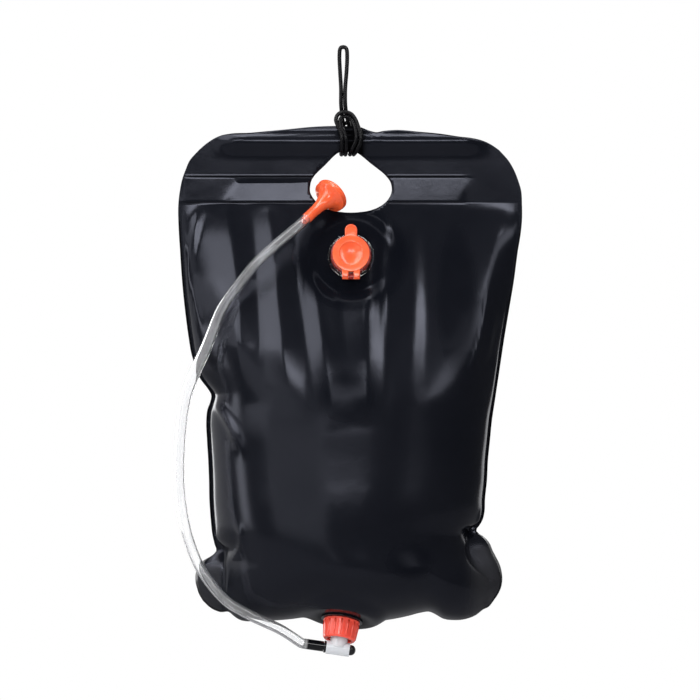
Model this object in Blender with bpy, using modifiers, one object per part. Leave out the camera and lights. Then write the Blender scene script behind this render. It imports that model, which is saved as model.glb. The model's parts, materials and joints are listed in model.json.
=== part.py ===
import math

import bmesh
import bpy
from mathutils import Matrix, Vector

# Clearances that every piece shares
GAP = 0.0003
OVERRUN = 0.002
MERGE = 0.00001

# The bag, from the inside of the hanging loop's top, which is the origin
HEADER_WIDTH = 0.400
BAG_HEIGHT = 0.566
BAG_DEPTH = 0.176
BAG_DROP = 0.095
BAG_SHIFT = 0.0087
WALL = 0.0006
SEAM_WIDTH = 0.006
LENS_POWER = 0.6
EAR_DEPTH = 0.021
PLEAT_HEIGHT = 0.004

# The waist above each lower corner and the soft lobe in the corner: the levels where the
# narrowing starts and ends and where the lobe starts and is full, as shares of the bag's
# height, then the waist and the lobe's crest as shares of half its width
LEFT_EAR_SHARES = (0.8335, 0.8621, 0.854, 0.899, 0.7213, 0.6402)
RIGHT_EAR_SHARES = (0.7987, 0.8232, 0.811, 0.856, 0.6692, 0.5881)

# How the bag's thickness closes towards the bottom edge, as shares of its height
CLOSING_SHARE = 0.1024
EAR_CLOSING_SHARE = 0.0491
BOTTOM_START_SHARE = 0.8376
BOTTOM_SHARE = 0.9604

# The bottom edge, as shares: how far across half the width, and how far below BOTTOM_SHARE
BOTTOM_EDGE_SHARES = [
    (-0.855, 0.0000),
    (-0.820, 0.0123),
    (-0.756, 0.0235),
    (-0.675, 0.0317),
    (-0.600, 0.0426),
    (-0.455, 0.0410),
    (-0.345, 0.0381),
    (-0.223, 0.0328),
    (-0.119, 0.0348),
    (-0.026, 0.0410),
    (0.055, 0.0450),
    (0.229, 0.0389),
    (0.333, 0.0315),
    (0.461, 0.0231),
    (0.530, 0.0360),
    (0.600, 0.0401),
    (0.669, 0.0377),
    (0.727, 0.0295),
    (0.802, 0.0119),
    (0.829, 0.0000),
]

# The pleats under the header: their crests and feet across the bag, and how they rise
# and fade down it
PLEAT_SHARES = [
    (-1.0, 0.0),
    (-0.84, 0.1),
    (-0.71, 1.0),
    (-0.58, 0.1),
    (-0.45, 1.0),
    (-0.32, 0.1),
    (-0.19, 1.0),
    (-0.08, 0.0),
    (0.08, 0.0),
    (0.19, 0.7),
    (0.32, 0.1),
    (0.45, 0.6),
    (0.58, 0.1),
    (0.71, 0.3),
    (0.84, 0.0),
    (1.0, 0.0),
]
PLEAT_FADE_SHARES = [(0.0, 0.0), (0.160, 0.0), (0.210, 1.0), (0.440, 1.0), (0.560, 0.0), (1.1, 0.0)]

# How far down the bag, and how far left, right and forward there, as shares of its
# height, half its width and half its depth
HEADER_ROW_SHARES = [
    (0.0, 0.513, 0.409, 0.0),
    (0.005, 0.687, 0.519, 0.0),
    (0.010, 0.762, 0.623, 0.0),
    (0.015, 0.791, 0.710, 0.0),
    (0.020, 0.814, 0.768, 0.0),
    (0.026, 0.835, 0.803, 0.0),
    (0.032, 0.855, 0.835, 0.0),
    (0.039, 0.878, 0.861, 0.0),
    (0.049, 0.907, 0.890, 0.0),
    (0.066, 0.936, 0.925, 0.0),
    (0.086, 0.959, 0.957, 0.0),
    (0.115, 0.983, 0.983, 0.0),
    (0.150, 0.994, 0.994, 0.0),
]
BODY_ROW_SHARES = [
    (0.167, 0.997, 0.994, 0.018),
    (0.182, 0.997, 0.994, 0.054),
    (0.197, 0.995, 0.991, 0.095),
    (0.211, 0.993, 0.988, 0.134),
    (0.225, 0.990, 0.983, 0.172),
    (0.240, 0.987, 0.977, 0.212),
    (0.254, 0.983, 0.970, 0.247),
    (0.268, 0.981, 0.963, 0.283),
    (0.283, 0.979, 0.955, 0.322),
    (0.302, 0.977, 0.946, 0.371),
    (0.325, 0.972, 0.936, 0.431),
    (0.350, 0.965, 0.924, 0.493),
    (0.380, 0.955, 0.912, 0.565),
    (0.418, 0.942, 0.899, 0.648),
    (0.459, 0.913, 0.881, 0.726),
    (0.478, 0.904, 0.870, 0.758),
    (0.500, 0.884, 0.860, 0.793),
    (0.515, 0.857, 0.853, 0.814),
    (0.529, 0.826, 0.847, 0.833),
    (0.541, 0.807, 0.841, 0.848),
    (0.553, 0.811, 0.837, 0.862),
    (0.572, 0.830, 0.829, 0.883),
    (0.592, 0.836, 0.820, 0.902),
    (0.654, 0.829, 0.803, 0.953),
    (0.715, 0.820, 0.791, 0.986),
    (0.766, 0.820, 0.777, 1.000),
    (0.784, 0.812, 0.775, 0.999),
    (0.801, 0.808, 0.758, 0.996),
    (0.811, 0.805, 0.740, 0.993),
    (0.817, 0.803, 0.727, 0.992),
    (0.831, 0.797, 0.771, 0.988),
    (0.846, 0.789, 0.806, 0.983),
    (0.861, 0.794, 0.829, 0.978),
    (0.8765, 0.840, 0.846, 0.973),
    (0.8888, 0.872, 0.862, 0.971),
    (0.9031, 0.892, 0.873, 0.969),
    (0.9195, 0.896, 0.877, 0.967),
    (0.9318, 0.889, 0.870, 0.966),
    (0.942, 0.881, 0.860, 0.965),
    (0.9502, 0.871, 0.848, 0.964),
    (0.9563, 0.861, 0.836, 0.964),
    (0.9594, 0.856, 0.830, 0.963),
    (0.9604, 0.855, 0.829, 0.963),
]
COLUMN_SHARES = [0.08, 0.19, 0.32, 0.45, 0.58, 0.71, 0.80, 0.86, 0.91, 0.955, 0.985]

# The handle hole through the header, and the parts of its outline as shares of its
# half width, of its height above the widest level and of its depth below it
HOLE_HALF_WIDTH = 0.0475
HOLE_RISE = 0.0429
HOLE_FALL = 0.0278
HOLE_SHIFT = 0.0093
HOLE_DROP = 0.1623
HOLE_OUTLINE_SHARES = [
    (-0.32, 0.98),
    (-0.09, 1.0),
    (0.15, 0.98),
    (0.48, 0.69),
    (0.83, 0.38),
    (0.98, 0.12),
    (0.96, -0.28),
    (0.74, -0.70),
    (0.40, -0.93),
    (0.0, -1.0),
    (-0.40, -0.93),
    (-0.74, -0.70),
    (-0.96, -0.28),
    (-1.0, 0.04),
    (-0.92, 0.32),
    (-0.62, 0.66),
]
HOLE_STEPS = 3

# The rod in the top hem
ROD_LENGTH = 0.242
ROD_RADIUS = 0.005
ROD_DROP = 0.106
HEM_CLEARANCE = 0.0006
HEM_REACH = 0.0112
HEM_OVERHANG = 0.026
HEM_RUNOUT = 0.015

# The hanging cord: a closed loop whose two legs rise through a hitch round the hem
CORD_RADIUS = 0.00225
CORD_ROUTE = [
    (0.0000, 0.0000, 0.0023),
    (0.0036, 0.0000, 0.0000),
    (0.0040, 0.0000, -0.0100),
    (0.0034, 0.0000, -0.0270),
    (0.0026, 0.0000, -0.0450),
    (0.0026, 0.0000, -0.0620),
    (0.0027, 0.0006, -0.0735),
    (0.0030, 0.0032, -0.0845),
    (0.0040, 0.0078, -0.0950),
    (0.0060, 0.0098, -0.1060),
    (0.0090, 0.0084, -0.1155),
    (0.0112, 0.0038, -0.1222),
    (0.0120, -0.0016, -0.1228),
    (0.0150, -0.0078, -0.1165),
    (0.0190, -0.0100, -0.1060),
    (0.0175, -0.0094, -0.0960),
    (0.0150, -0.0074, -0.0880),
    (0.0130, -0.0066, -0.0810),
    (0.0090, -0.0064, -0.0750),
    (0.0000, -0.0062, -0.0722),
    (-0.0060, -0.0062, -0.0755),
    (-0.0078, -0.0064, -0.0815),
    (-0.0050, -0.0072, -0.0880),
    (-0.0020, -0.0092, -0.0965),
    (0.0000, -0.0100, -0.1060),
    (-0.0010, -0.0078, -0.1165),
    (-0.0014, -0.0016, -0.1228),
    (-0.0016, 0.0038, -0.1222),
    (-0.0022, 0.0084, -0.1155),
    (-0.0026, 0.0098, -0.1060),
    (-0.0026, 0.0078, -0.0950),
    (-0.0026, 0.0032, -0.0845),
    (-0.0026, 0.0006, -0.0735),
    (-0.0026, 0.0000, -0.0620),
    (-0.0026, 0.0000, -0.0450),
    (-0.0034, 0.0000, -0.0270),
    (-0.0040, 0.0000, -0.0100),
    (-0.0036, 0.0000, 0.0000),
]

# The fill valve, from the bag's outer face at its middle
FILL_SHIFT = 0.0093
FILL_LEVEL_SHARE = 0.2575
FILL_STANDOFF = 0.0250
FILL_TILT = math.radians(12)
FILL_SEAT_RADIUS = 0.038
FILL_SEAT_REACH = 0.060
FILL_FLANGE_RADIUS = 0.027
FILL_FLANGE_THICKNESS = 0.0015
FILL_NECK_RADIUS = 0.0170
FILL_NECK_BORE = 0.0145
FILL_NECK_HEIGHT = 0.0085
FILL_NECK_INSIDE = 0.003
FILL_GASKET_THICKNESS = 0.001
COLLAR_RADIUS = 0.0235
COLLAR_CLEARANCE = 0.0005
COLLAR_LIP_BORE = 0.0132
COLLAR_LIP_THICKNESS = 0.0016
LID_SEAL_THICKNESS = 0.001
LID_SEAL_WIDTH = 0.0035
LID_RADIUS = 0.0215
LID_THICKNESS = 0.0035
LID_DISH_RADIUS = 0.014
LID_DISH_DEPTH = 0.0018
LID_PLUG_LENGTH = 0.0055
LID_PLUG_WALL = 0.0014
LID_PLUG_CLEARANCE = 0.0006
LID_BEVEL = 0.0006
TAB_WIDTH = 0.014
TAB_REACH = 0.0345
TAB_THICKNESS = 0.0018
HINGE_REACH = 0.0268
HINGE_HEIGHT = 0.0112
HINGE_LUG_RADIUS = 0.0029
HINGE_LUG_WIDTH = 0.0072
HINGE_LUG_SPACING = 0.0132
HINGE_PIN_RADIUS = 0.0012

# The outlet, from the bag's outer face at its middle
OUTLET_SHIFT = -0.0012
OUTLET_LEVEL_SHARE = 0.99823
OUTLET_STANDOFF = 0.030
OUTLET_TILT = math.radians(18)
OUTLET_ROLL = math.radians(8)
OUTLET_SEAT_RADIUS = 0.037
OUTLET_SEAT_REACH = 0.054
OUTLET_FLANGE_RADIUS = 0.0265
OUTLET_FLANGE_THICKNESS = 0.0015
OUTLET_NECK_RADIUS = 0.0155
OUTLET_NECK_BORE = 0.0120
OUTLET_NECK_HEIGHT = 0.0110
OUTLET_NECK_INSIDE = 0.003
OUTLET_GASKET_THICKNESS = 0.0015
NUT_TOP_RADIUS = 0.0211
NUT_BOTTOM_RADIUS = 0.0185
NUT_HEIGHT = 0.0227
NUT_FLOOR = 0.0025
NUT_BORE = 0.0174
NUT_MOUTH_RADIUS = 0.0140
NUT_GROOVES = 20
NUT_GROOVE_RADIUS = 0.0014
NUT_RIM = 0.0018

# The slide valve under the nut
VALVE_DISC_THICKNESS = 0.0022
STEM_RADIUS = 0.0100
STEM_BORE = 0.0050
BARREL_DROP = 0.0350
BARREL_LENGTH = 0.027
BARREL_RADIUS = 0.0078
BARREL_BORE = 0.0063
SPOOL_RADIUS = 0.0060
SPOOL_TRAVEL = 0.007
SPOOL_DOME_SHARE = 0.9
SPOOL_DOME_STEPS = 5
SPOOL_DISC_RADIUS = 0.0069
SPOOL_DISC_THICKNESS = 0.0025
SPOOL_BORE = 0.0024
SPOOL_BORE_LENGTH = 0.028
SPOOL_PORT_SHIFT = 0.0010
BARB_RADIUS = 0.0044
BARB_LENGTH = 0.0195
O_RING_RADIUS = 0.0054
O_RING_SECTION = 0.0005
O_RING_PLACES = (-0.0105, 0.0075)
O_RING_SIDES = 6

# The shower head, parked in the handle hole, and the hose to it
HEAD_SHIFT_SHARE = -1.0863
HEAD_FALL_SHARE = 1.2698
HEAD_FORWARD = 0.0430
HEAD_DIRECTION_SHARES = (0.589, 0.574, 0.569)
HEAD_LENGTH = 0.051
HEAD_NECK_RADIUS = 0.0062
HEAD_RADIUS = 0.0205
HEAD_WALL = 0.0016
HEAD_RIM_DEPTH = 0.006
HEAD_STUB_RADIUS = 0.0044
HEAD_STUB_LENGTH = 0.012
HEAD_FLARE_SHARES = [
    (0.0, 0.0),
    (0.30, 0.06),
    (0.50, 0.17),
    (0.66, 0.36),
    (0.80, 0.66),
    (0.92, 0.92),
    (1.0, 1.0),
]
ROSE_THICKNESS = 0.0016
ROSE_RING_WIDTH = 0.0012
ROSE_HOLE_RADIUS = 0.0009
ROSE_HOLE_SIDES = 6
ROSE_CIRCLES = ((0.28, 5), (0.55, 8), (0.82, 12))
HOSE_RADIUS = 0.0060
HOSE_BORE = 0.0047
HOSE_ROUTE = [
    (-0.0730, -0.0440, -0.6705),
    (-0.1070, -0.0470, -0.6545),
    (-0.1368, -0.0480, -0.6360),
    (-0.1623, -0.0460, -0.6038),
    (-0.1773, -0.0420, -0.5691),
    (-0.1854, -0.0380, -0.5343),
    (-0.1889, -0.0360, -0.4995),
    (-0.1878, -0.0350, -0.4532),
    (-0.1820, -0.0360, -0.4068),
    (-0.1715, -0.0380, -0.3767),
    (-0.1565, -0.0420, -0.3431),
    (-0.1402, -0.0470, -0.3025),
    (-0.1190, -0.0540, -0.2722),
    (-0.0930, -0.0600, -0.2420),
]
HOSE_POINT_SPACING = 0.013
CORD_POINT_SPACING = 0.0052

# How finely the round pieces are turned
FINE_STEPS = 40
STEPS = 28
SMALL_STEPS = 16
TUBE_RESOLUTION = 2
EDGE_ANGLE = math.radians(35)


def clear_scene():
    for thing in list(bpy.data.objects):
        bpy.data.objects.remove(thing, do_unlink=True)


def new_collection(name):
    collection = bpy.data.collections.new(name)
    bpy.context.scene.collection.children.link(collection)
    return collection


clear_scene()
PARTS = new_collection("camp_shower_bag")
CUTTERS = new_collection("cutters")


def new_material(name, color, roughness, alpha=1.0):
    material = bpy.data.materials.new(name)
    material.use_nodes = True
    shader = material.node_tree.nodes["Principled BSDF"]
    shader.inputs["Base Color"].default_value = (*color, 1.0)
    shader.inputs["Roughness"].default_value = roughness
    shader.inputs["Metallic"].default_value = 0.0
    shader.inputs["Alpha"].default_value = alpha
    return material


def new_frame(name, matrix, parent=None):
    frame = bpy.data.objects.new(name, None)
    frame.empty_display_size = OVERRUN
    frame.parent = parent
    frame.matrix_basis = matrix
    PARTS.objects.link(frame)
    return frame


def new_object(name, mesh, frame=None, material=None, collection=None):
    thing = bpy.data.objects.new(name, mesh)
    thing.parent = frame
    if material:
        mesh.materials.append(material)
    (collection or PARTS).objects.link(thing)
    return thing


def new_cutter(name, mesh, frame=None):
    cutter = new_object(name, mesh, frame, None, CUTTERS)
    cutter.hide_render = True
    cutter.display_type = "WIRE"
    return cutter


def shade(thing):
    thing.data.shade_smooth()
    thing.data.set_sharp_from_angle(angle=EDGE_ANGLE)


def combine(thing, tool, operation="DIFFERENCE"):
    modifier = thing.modifiers.new(operation.lower(), "BOOLEAN")
    modifier.operation = operation
    modifier.solver = "EXACT"
    modifier.object = tool


# Turned pieces

def profile_mesh(name, profile):
    # Radius and height of each corner; the outer side comes first and runs downwards
    mesh = bpy.data.meshes.new(name)
    points = [(radius, 0.0, height) for radius, height in profile]
    edges = [(index, index + 1) for index in range(len(points) - 1)]
    on_axis = profile[0][0] == 0.0 and profile[-1][0] == 0.0
    if not on_axis:
        edges.append((len(points) - 1, 0))
    mesh.from_pydata(points, edges, [])
    return mesh


def turn(thing, steps):
    screw = thing.modifiers.new("turning", "SCREW")
    screw.axis = "Z"
    screw.angle = math.tau
    screw.steps = steps
    screw.render_steps = steps
    screw.use_merge_vertices = True
    screw.merge_threshold = MERGE
    screw.use_smooth_shade = True


def turned(name, profile, frame, material, steps=STEPS):
    thing = new_object(name, profile_mesh(name, profile), frame, material)
    turn(thing, steps)
    return thing


def turned_cutter(name, profile, frame, steps=STEPS):
    thing = new_cutter(name, profile_mesh(name, profile), frame)
    turn(thing, steps)
    return thing


def ring_profile(outer, inner, top, bottom):
    return [(outer, top), (outer, bottom), (inner, bottom), (inner, top)]


def rod_profile(radius, top, bottom):
    return [(0.0, top), (radius, top), (radius, bottom), (0.0, bottom)]


# Primitives placed in a frame

def add_box(bm, size, centre):
    place = Matrix.Translation(centre) @ Matrix.Diagonal((*size, 1.0))
    bmesh.ops.create_cube(bm, size=1.0, matrix=place)


def add_cylinder(bm, radius, length, centre, axis, steps=SMALL_STEPS, end_radius=None):
    turned_to = Vector(axis).to_track_quat("Z", "Y").to_matrix().to_4x4()
    bmesh.ops.create_cone(
        bm,
        cap_ends=True,
        segments=steps,
        radius1=radius,
        radius2=radius if end_radius is None else end_radius,
        depth=length,
        matrix=Matrix.Translation(centre) @ turned_to,
    )


def mesh_of(name, build):
    bm = bmesh.new()
    build(bm)
    mesh = bpy.data.meshes.new(name)
    bm.to_mesh(mesh)
    bm.free()
    return mesh


# Smooth routes

def spline_point(before, start, end, after, share):
    square = share * share
    cube = square * share
    return 0.5 * (
        2.0 * start
        + (end - before) * share
        + (2.0 * before - 5.0 * start + 4.0 * end - after) * square
        + (3.0 * start - before - 3.0 * end + after) * cube
    )


def smooth_points(route, spacing, closed):
    points = [Vector(point) for point in route]
    count = len(points)
    result = []
    for index in range(count if closed else count - 1):
        if closed:
            before = points[index - 1]
            end = points[(index + 1) % count]
            after = points[(index + 2) % count]
        else:
            before = points[max(index - 1, 0)]
            end = points[index + 1]
            after = points[min(index + 2, count - 1)]
        start = points[index]
        steps = max(1, round((end - start).length / spacing))
        for step in range(steps):
            result.append(spline_point(before, start, end, after, step / steps))
    if not closed:
        result.append(points[-1])
    return result


def tube_curve(name, points, radius, closed, material):
    curve = bpy.data.curves.new(name, "CURVE")
    curve.dimensions = "3D"
    curve.bevel_depth = radius
    curve.bevel_resolution = TUBE_RESOLUTION
    curve.use_fill_caps = not closed
    spline = curve.splines.new("POLY")
    spline.points.add(len(points) - 1)
    for target, point in zip(spline.points, points):
        target.co = (*point, 1.0)
    spline.use_cyclic_u = closed
    thing = bpy.data.objects.new(name, curve)
    curve.materials.append(material)
    PARTS.objects.link(thing)
    return thing


# The bag's two panels

HALF_WIDTH = HEADER_WIDTH / 2
HALF_DEPTH = BAG_DEPTH / 2
ROD_AXIS = Vector((BAG_SHIFT, 0.0, -ROD_DROP))
FILL_AXIS = Vector((0.0, -math.cos(FILL_TILT), math.sin(FILL_TILT)))
FILL_DROP = BAG_DROP + FILL_LEVEL_SHARE * BAG_HEIGHT
OUTLET_DROP = BAG_DROP + OUTLET_LEVEL_SHARE * BAG_HEIGHT
FILL_CENTRE = Vector((FILL_SHIFT, -FILL_STANDOFF, -FILL_DROP))
OUTLET_MATRIX = (
    Matrix.Translation((OUTLET_SHIFT, -OUTLET_STANDOFF, -OUTLET_DROP))
    @ Matrix.Rotation(OUTLET_ROLL, 4, "Y")
    @ Matrix.Rotation(math.pi - OUTLET_TILT, 4, "X")
)
OUTLET_AXIS = (OUTLET_MATRIX.to_3x3() @ Vector((0.0, 0.0, 1.0))).normalized()
OUTLET_CENTRE = OUTLET_MATRIX.translation


def smooth_step(share):
    share = min(max(share, 0.0), 1.0)
    return share * share * (3.0 - 2.0 * share)


def seated(point, centre, axis, radius, reach):
    # Film drawn on to the flat of a fitting, easing back into the bag's own shape
    away = point - centre
    height = away.dot(axis)
    distance = (away - axis * height).length
    if abs(height) > reach:
        return point
    hold = smooth_step((reach - distance) / (reach - radius))
    return point - axis * ((height + WALL) * hold)


def hem_bulge(x, z):
    # Half the room that the sheets leave for the rod
    past_end = abs(x - ROD_AXIS.x) - ROD_LENGTH / 2
    fade = smooth_step(1.0 - max(past_end - HEM_OVERHANG, 0.0) / HEM_RUNOUT)
    level = min(abs(z - ROD_AXIS.z) / HEM_REACH, 1.0)
    return (ROD_RADIUS + HEM_CLEARANCE) * fade * (1.0 + math.cos(math.pi * level)) / 2


def column_shares():
    return [-1.0, *[-share for share in reversed(COLUMN_SHARES)], 0.0, *COLUMN_SHARES, 1.0]


def value_at(pairs, place):
    # Straight between the (place, value) pairs, and level beyond their ends
    if place <= pairs[0][0]:
        return pairs[0][1]
    for (low, first), (high, second) in zip(pairs, pairs[1:]):
        if place <= high:
            return first + (second - first) * (place - low) / (high - low)
    return pairs[-1][1]


def level_of(drop_share, across_share):
    # A row bends down towards the bottom edge's own line
    span = BOTTOM_SHARE - BOTTOM_START_SHARE
    hold = smooth_step((drop_share - BOTTOM_START_SHARE) / span)
    return drop_share + value_at(BOTTOM_EDGE_SHARES, across_share) * hold


def closed_share(level, across_share, reach_share):
    # A quarter ellipse from the full thickness to nothing at the bottom edge
    bottom = BOTTOM_SHARE + value_at(BOTTOM_EDGE_SHARES, across_share)
    below = min(max((bottom - level) / reach_share, 0.0), 1.0)
    return math.sqrt(1.0 - (1.0 - below) ** 2)


def ear_depth(distance, width, level, start, full, across_share):
    # Half the thickness of the lobe in a lower corner, from the outer edge inwards
    share = min(max(distance / width, 0.0), 2.0)
    lobe = math.sqrt(1.0 - (share - 1.0) ** 2)
    grown = smooth_step((level - start) / (full - start))
    return EAR_DEPTH * lobe * grown * closed_share(level, across_share, EAR_CLOSING_SHARE)


def panel_point(row_shares, column_share, side):
    drop_share, left_share, right_share, depth_share = row_shares
    left_reach = left_share * HALF_WIDTH
    right_reach = right_share * HALF_WIDTH
    inner_left = SEAM_WIDTH - left_reach
    inner_right = right_reach - SEAM_WIDTH
    across = (inner_left + inner_right + column_share * (inner_right - inner_left)) / 2
    across_share = across / HALF_WIDTH
    level = level_of(drop_share, across_share)
    ears = 0.0
    waists = []
    for shares, reach, distance in (
        (LEFT_EAR_SHARES, left_reach, across + left_reach),
        (RIGHT_EAR_SHARES, right_reach, right_reach - across),
    ):
        narrow_start, narrow_end, start, full, waist_share, crest_share = shares
        hold = smooth_step((drop_share - narrow_start) / (narrow_end - narrow_start))
        inside = reach - SEAM_WIDTH
        waists.append(inside - max(inside - waist_share * HALF_WIDTH, 0.0) * hold)
        width = reach - crest_share * HALF_WIDTH
        ears += ear_depth(distance, width, level, start, full, across_share)
    middle = (waists[1] - waists[0]) / 2
    share = (across - middle) / ((waists[1] + waists[0]) / 2)
    lens = max(1.0 - share * share, 0.0) ** LENS_POWER
    body = depth_share * HALF_DEPTH * lens * closed_share(level, across_share, CLOSING_SHARE)
    pleats = value_at(PLEAT_SHARES, column_share) * value_at(PLEAT_FADE_SHARES, drop_share)
    x = BAG_SHIFT + across
    z = -BAG_DROP - level * BAG_HEIGHT
    bulge = (body**3 + ears**3) ** (1 / 3) + PLEAT_HEIGHT * pleats + hem_bulge(x, z)
    return Vector((x, side * (GAP / 2 + bulge), z))


def edge_point(row_shares, end, side):
    drop_share, left_share, right_share, _ = row_shares
    share = -left_share if end < 0 else right_share
    x = BAG_SHIFT + share * HALF_WIDTH
    z = -BAG_DROP - level_of(drop_share, share) * BAG_HEIGHT
    return Vector((x, side * (GAP / 2 + hem_bulge(x, z)), z))


def panel_mesh(name, side):
    columns = column_shares()

    def build(bm):
        grid = []
        for row_shares in HEADER_ROW_SHARES + BODY_ROW_SHARES:
            line = [edge_point(row_shares, -1, side)]
            line += [panel_point(row_shares, share, side) for share in columns]
            line.append(edge_point(row_shares, 1, side))
            if side < 0:
                line = [
                    seated(
                        point,
                        FILL_CENTRE,
                        FILL_AXIS,
                        FILL_SEAT_RADIUS,
                        FILL_SEAT_REACH,
                    )
                    for point in line
                ]
            line = [
                seated(
                    point,
                    OUTLET_CENTRE,
                    OUTLET_AXIS,
                    OUTLET_SEAT_RADIUS,
                    OUTLET_SEAT_REACH,
                )
                for point in line
            ]
            grid.append([bm.verts.new(point) for point in line])
        for upper, lower in zip(grid, grid[1:]):
            for index in range(len(upper) - 1):
                corners = [upper[index], lower[index], lower[index + 1], upper[index + 1]]
                if side > 0:
                    corners.reverse()
                bm.faces.new(corners)

    return mesh_of(name, build)


def hole_mesh():
    outline = [
        (
            HOLE_SHIFT + across * HOLE_HALF_WIDTH,
            0.0,
            -HOLE_DROP + up * (HOLE_RISE if up > 0.0 else HOLE_FALL),
        )
        for across, up in HOLE_OUTLINE_SHARES
    ]
    spacing = HOLE_HALF_WIDTH / HOLE_STEPS / 2
    ring = smooth_points(outline, spacing, True)
    reach = Vector((0.0, ROD_RADIUS + OVERRUN, 0.0))

    def build(bm):
        face = bm.faces.new([bm.verts.new(point - reach) for point in ring])
        moved = bmesh.ops.extrude_face_region(bm, geom=[face])
        raised = [item for item in moved["geom"] if isinstance(item, bmesh.types.BMVert)]
        bmesh.ops.translate(bm, verts=raised, vec=reach * 2)
        bmesh.ops.recalc_face_normals(bm, faces=bm.faces)

    return mesh_of("handle_hole", build)


def add_panels(film, fill_frame, outlet_frame):
    hole = new_cutter("handle_hole", hole_mesh())
    fill_hole = turned_cutter(
        "fill_port_hole",
        rod_profile(FILL_NECK_RADIUS + GAP, OVERRUN * 2, -OVERRUN * 2),
        fill_frame,
    )
    outlet_hole = turned_cutter(
        "outlet_hole",
        rod_profile(OUTLET_NECK_RADIUS + GAP, OVERRUN * 2, -OVERRUN * 2),
        outlet_frame,
    )
    panels = (
        ("front_panel", -1, (hole, fill_hole, outlet_hole)),
        ("back_panel", 1, (hole,)),
    )
    for name, side, cuts in panels:
        panel = new_object(name, panel_mesh(name, side), None, film)
        panel.data.shade_smooth()
        sheet = panel.modifiers.new("sheet", "SOLIDIFY")
        sheet.thickness = WALL
        sheet.offset = 1.0
        sheet.use_even_offset = False
        for cut in cuts:
            combine(panel, cut)


def add_rod(material):
    def build(bm):
        add_cylinder(bm, ROD_RADIUS, ROD_LENGTH, ROD_AXIS, (1.0, 0.0, 0.0), STEPS // 2)

    rod = new_object("spreader_rod", mesh_of("spreader_rod", build), None, material)
    shade(rod)


def add_hang_cord(material):
    points = smooth_points(CORD_ROUTE, CORD_POINT_SPACING, True)
    tube_curve("hang_cord", points, CORD_RADIUS, True, material)


# The fill valve

FLANGE_TOP = GAP + FILL_FLANGE_THICKNESS
FILL_GASKET_BASE = FILL_NECK_HEIGHT + GAP
COLLAR_LIP_BASE = FILL_GASKET_BASE + FILL_GASKET_THICKNESS + GAP
COLLAR_TOP = COLLAR_LIP_BASE + COLLAR_LIP_THICKNESS
COLLAR_BASE = FLANGE_TOP + GAP
LID_SEAL_BASE = COLLAR_TOP + GAP
LID_BASE = LID_SEAL_BASE + LID_SEAL_THICKNESS + GAP
LID_TOP = LID_BASE + LID_THICKNESS
PLUG_RADIUS = COLLAR_LIP_BORE - LID_PLUG_CLEARANCE
LUG_OFFSET = HINGE_LUG_SPACING / 2


def add_fill_flange(material, frame):
    profile = [
        (FILL_NECK_RADIUS, FILL_NECK_HEIGHT),
        (FILL_NECK_RADIUS, FLANGE_TOP),
        (FILL_FLANGE_RADIUS, FLANGE_TOP),
        (FILL_FLANGE_RADIUS, GAP),
        (FILL_NECK_RADIUS, GAP),
        (FILL_NECK_RADIUS, -FILL_NECK_INSIDE),
        (FILL_NECK_BORE, -FILL_NECK_INSIDE),
        (FILL_NECK_BORE, FILL_NECK_HEIGHT),
    ]
    turned("fill_flange", profile, frame, material)


def add_fill_gasket(material, frame):
    top = FILL_GASKET_BASE + FILL_GASKET_THICKNESS
    profile = ring_profile(FILL_NECK_RADIUS, FILL_NECK_BORE, top, FILL_GASKET_BASE)
    turned("fill_gasket", profile, frame, material)


def add_collar(material, frame):
    inner = FILL_NECK_RADIUS + COLLAR_CLEARANCE
    profile = [
        (COLLAR_RADIUS - COLLAR_LIP_THICKNESS, COLLAR_TOP),
        (COLLAR_RADIUS, COLLAR_LIP_BASE),
        (COLLAR_RADIUS, COLLAR_BASE),
        (inner, COLLAR_BASE),
        (inner, COLLAR_LIP_BASE),
        (COLLAR_LIP_BORE, COLLAR_LIP_BASE),
        (COLLAR_LIP_BORE, COLLAR_TOP),
    ]
    collar = turned("fill_collar", profile, frame, material)
    width = HINGE_LUG_SPACING - HINGE_LUG_WIDTH - GAP * 2

    def build(bm):
        centre = (0.0, -HINGE_REACH, HINGE_HEIGHT)
        add_cylinder(bm, HINGE_LUG_RADIUS, width, centre, (1.0, 0.0, 0.0))

    def build_arm(bm):
        inside = (inner + COLLAR_RADIUS) / 2
        length = HINGE_REACH - inside
        height = HINGE_LUG_RADIUS * 2
        base = HINGE_HEIGHT - HINGE_LUG_RADIUS
        level = base + height / 4
        add_box(bm, (width, length, height / 2), (0.0, -inside - length / 2, level))

    def build_bore(bm):
        centre = (0.0, -HINGE_REACH, HINGE_HEIGHT)
        length = width + OVERRUN * 2
        add_cylinder(bm, HINGE_PIN_RADIUS + GAP, length, centre, (1.0, 0.0, 0.0))

    combine(collar, new_cutter("collar_arm", mesh_of("collar_arm", build_arm), frame), "UNION")
    combine(collar, new_cutter("collar_knuckle", mesh_of("collar_knuckle", build), frame), "UNION")
    combine(collar, new_cutter("collar_pin_bore", mesh_of("collar_pin_bore", build_bore), frame))


def add_hinge_pin(material, frame):
    length = HINGE_LUG_SPACING + HINGE_LUG_WIDTH

    def build(bm):
        centre = (0.0, -HINGE_REACH, HINGE_HEIGHT)
        add_cylinder(bm, HINGE_PIN_RADIUS, length, centre, (1.0, 0.0, 0.0))

    pin = new_object("fill_hinge_pin", mesh_of("fill_hinge_pin", build), frame, material)
    shade(pin)


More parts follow.
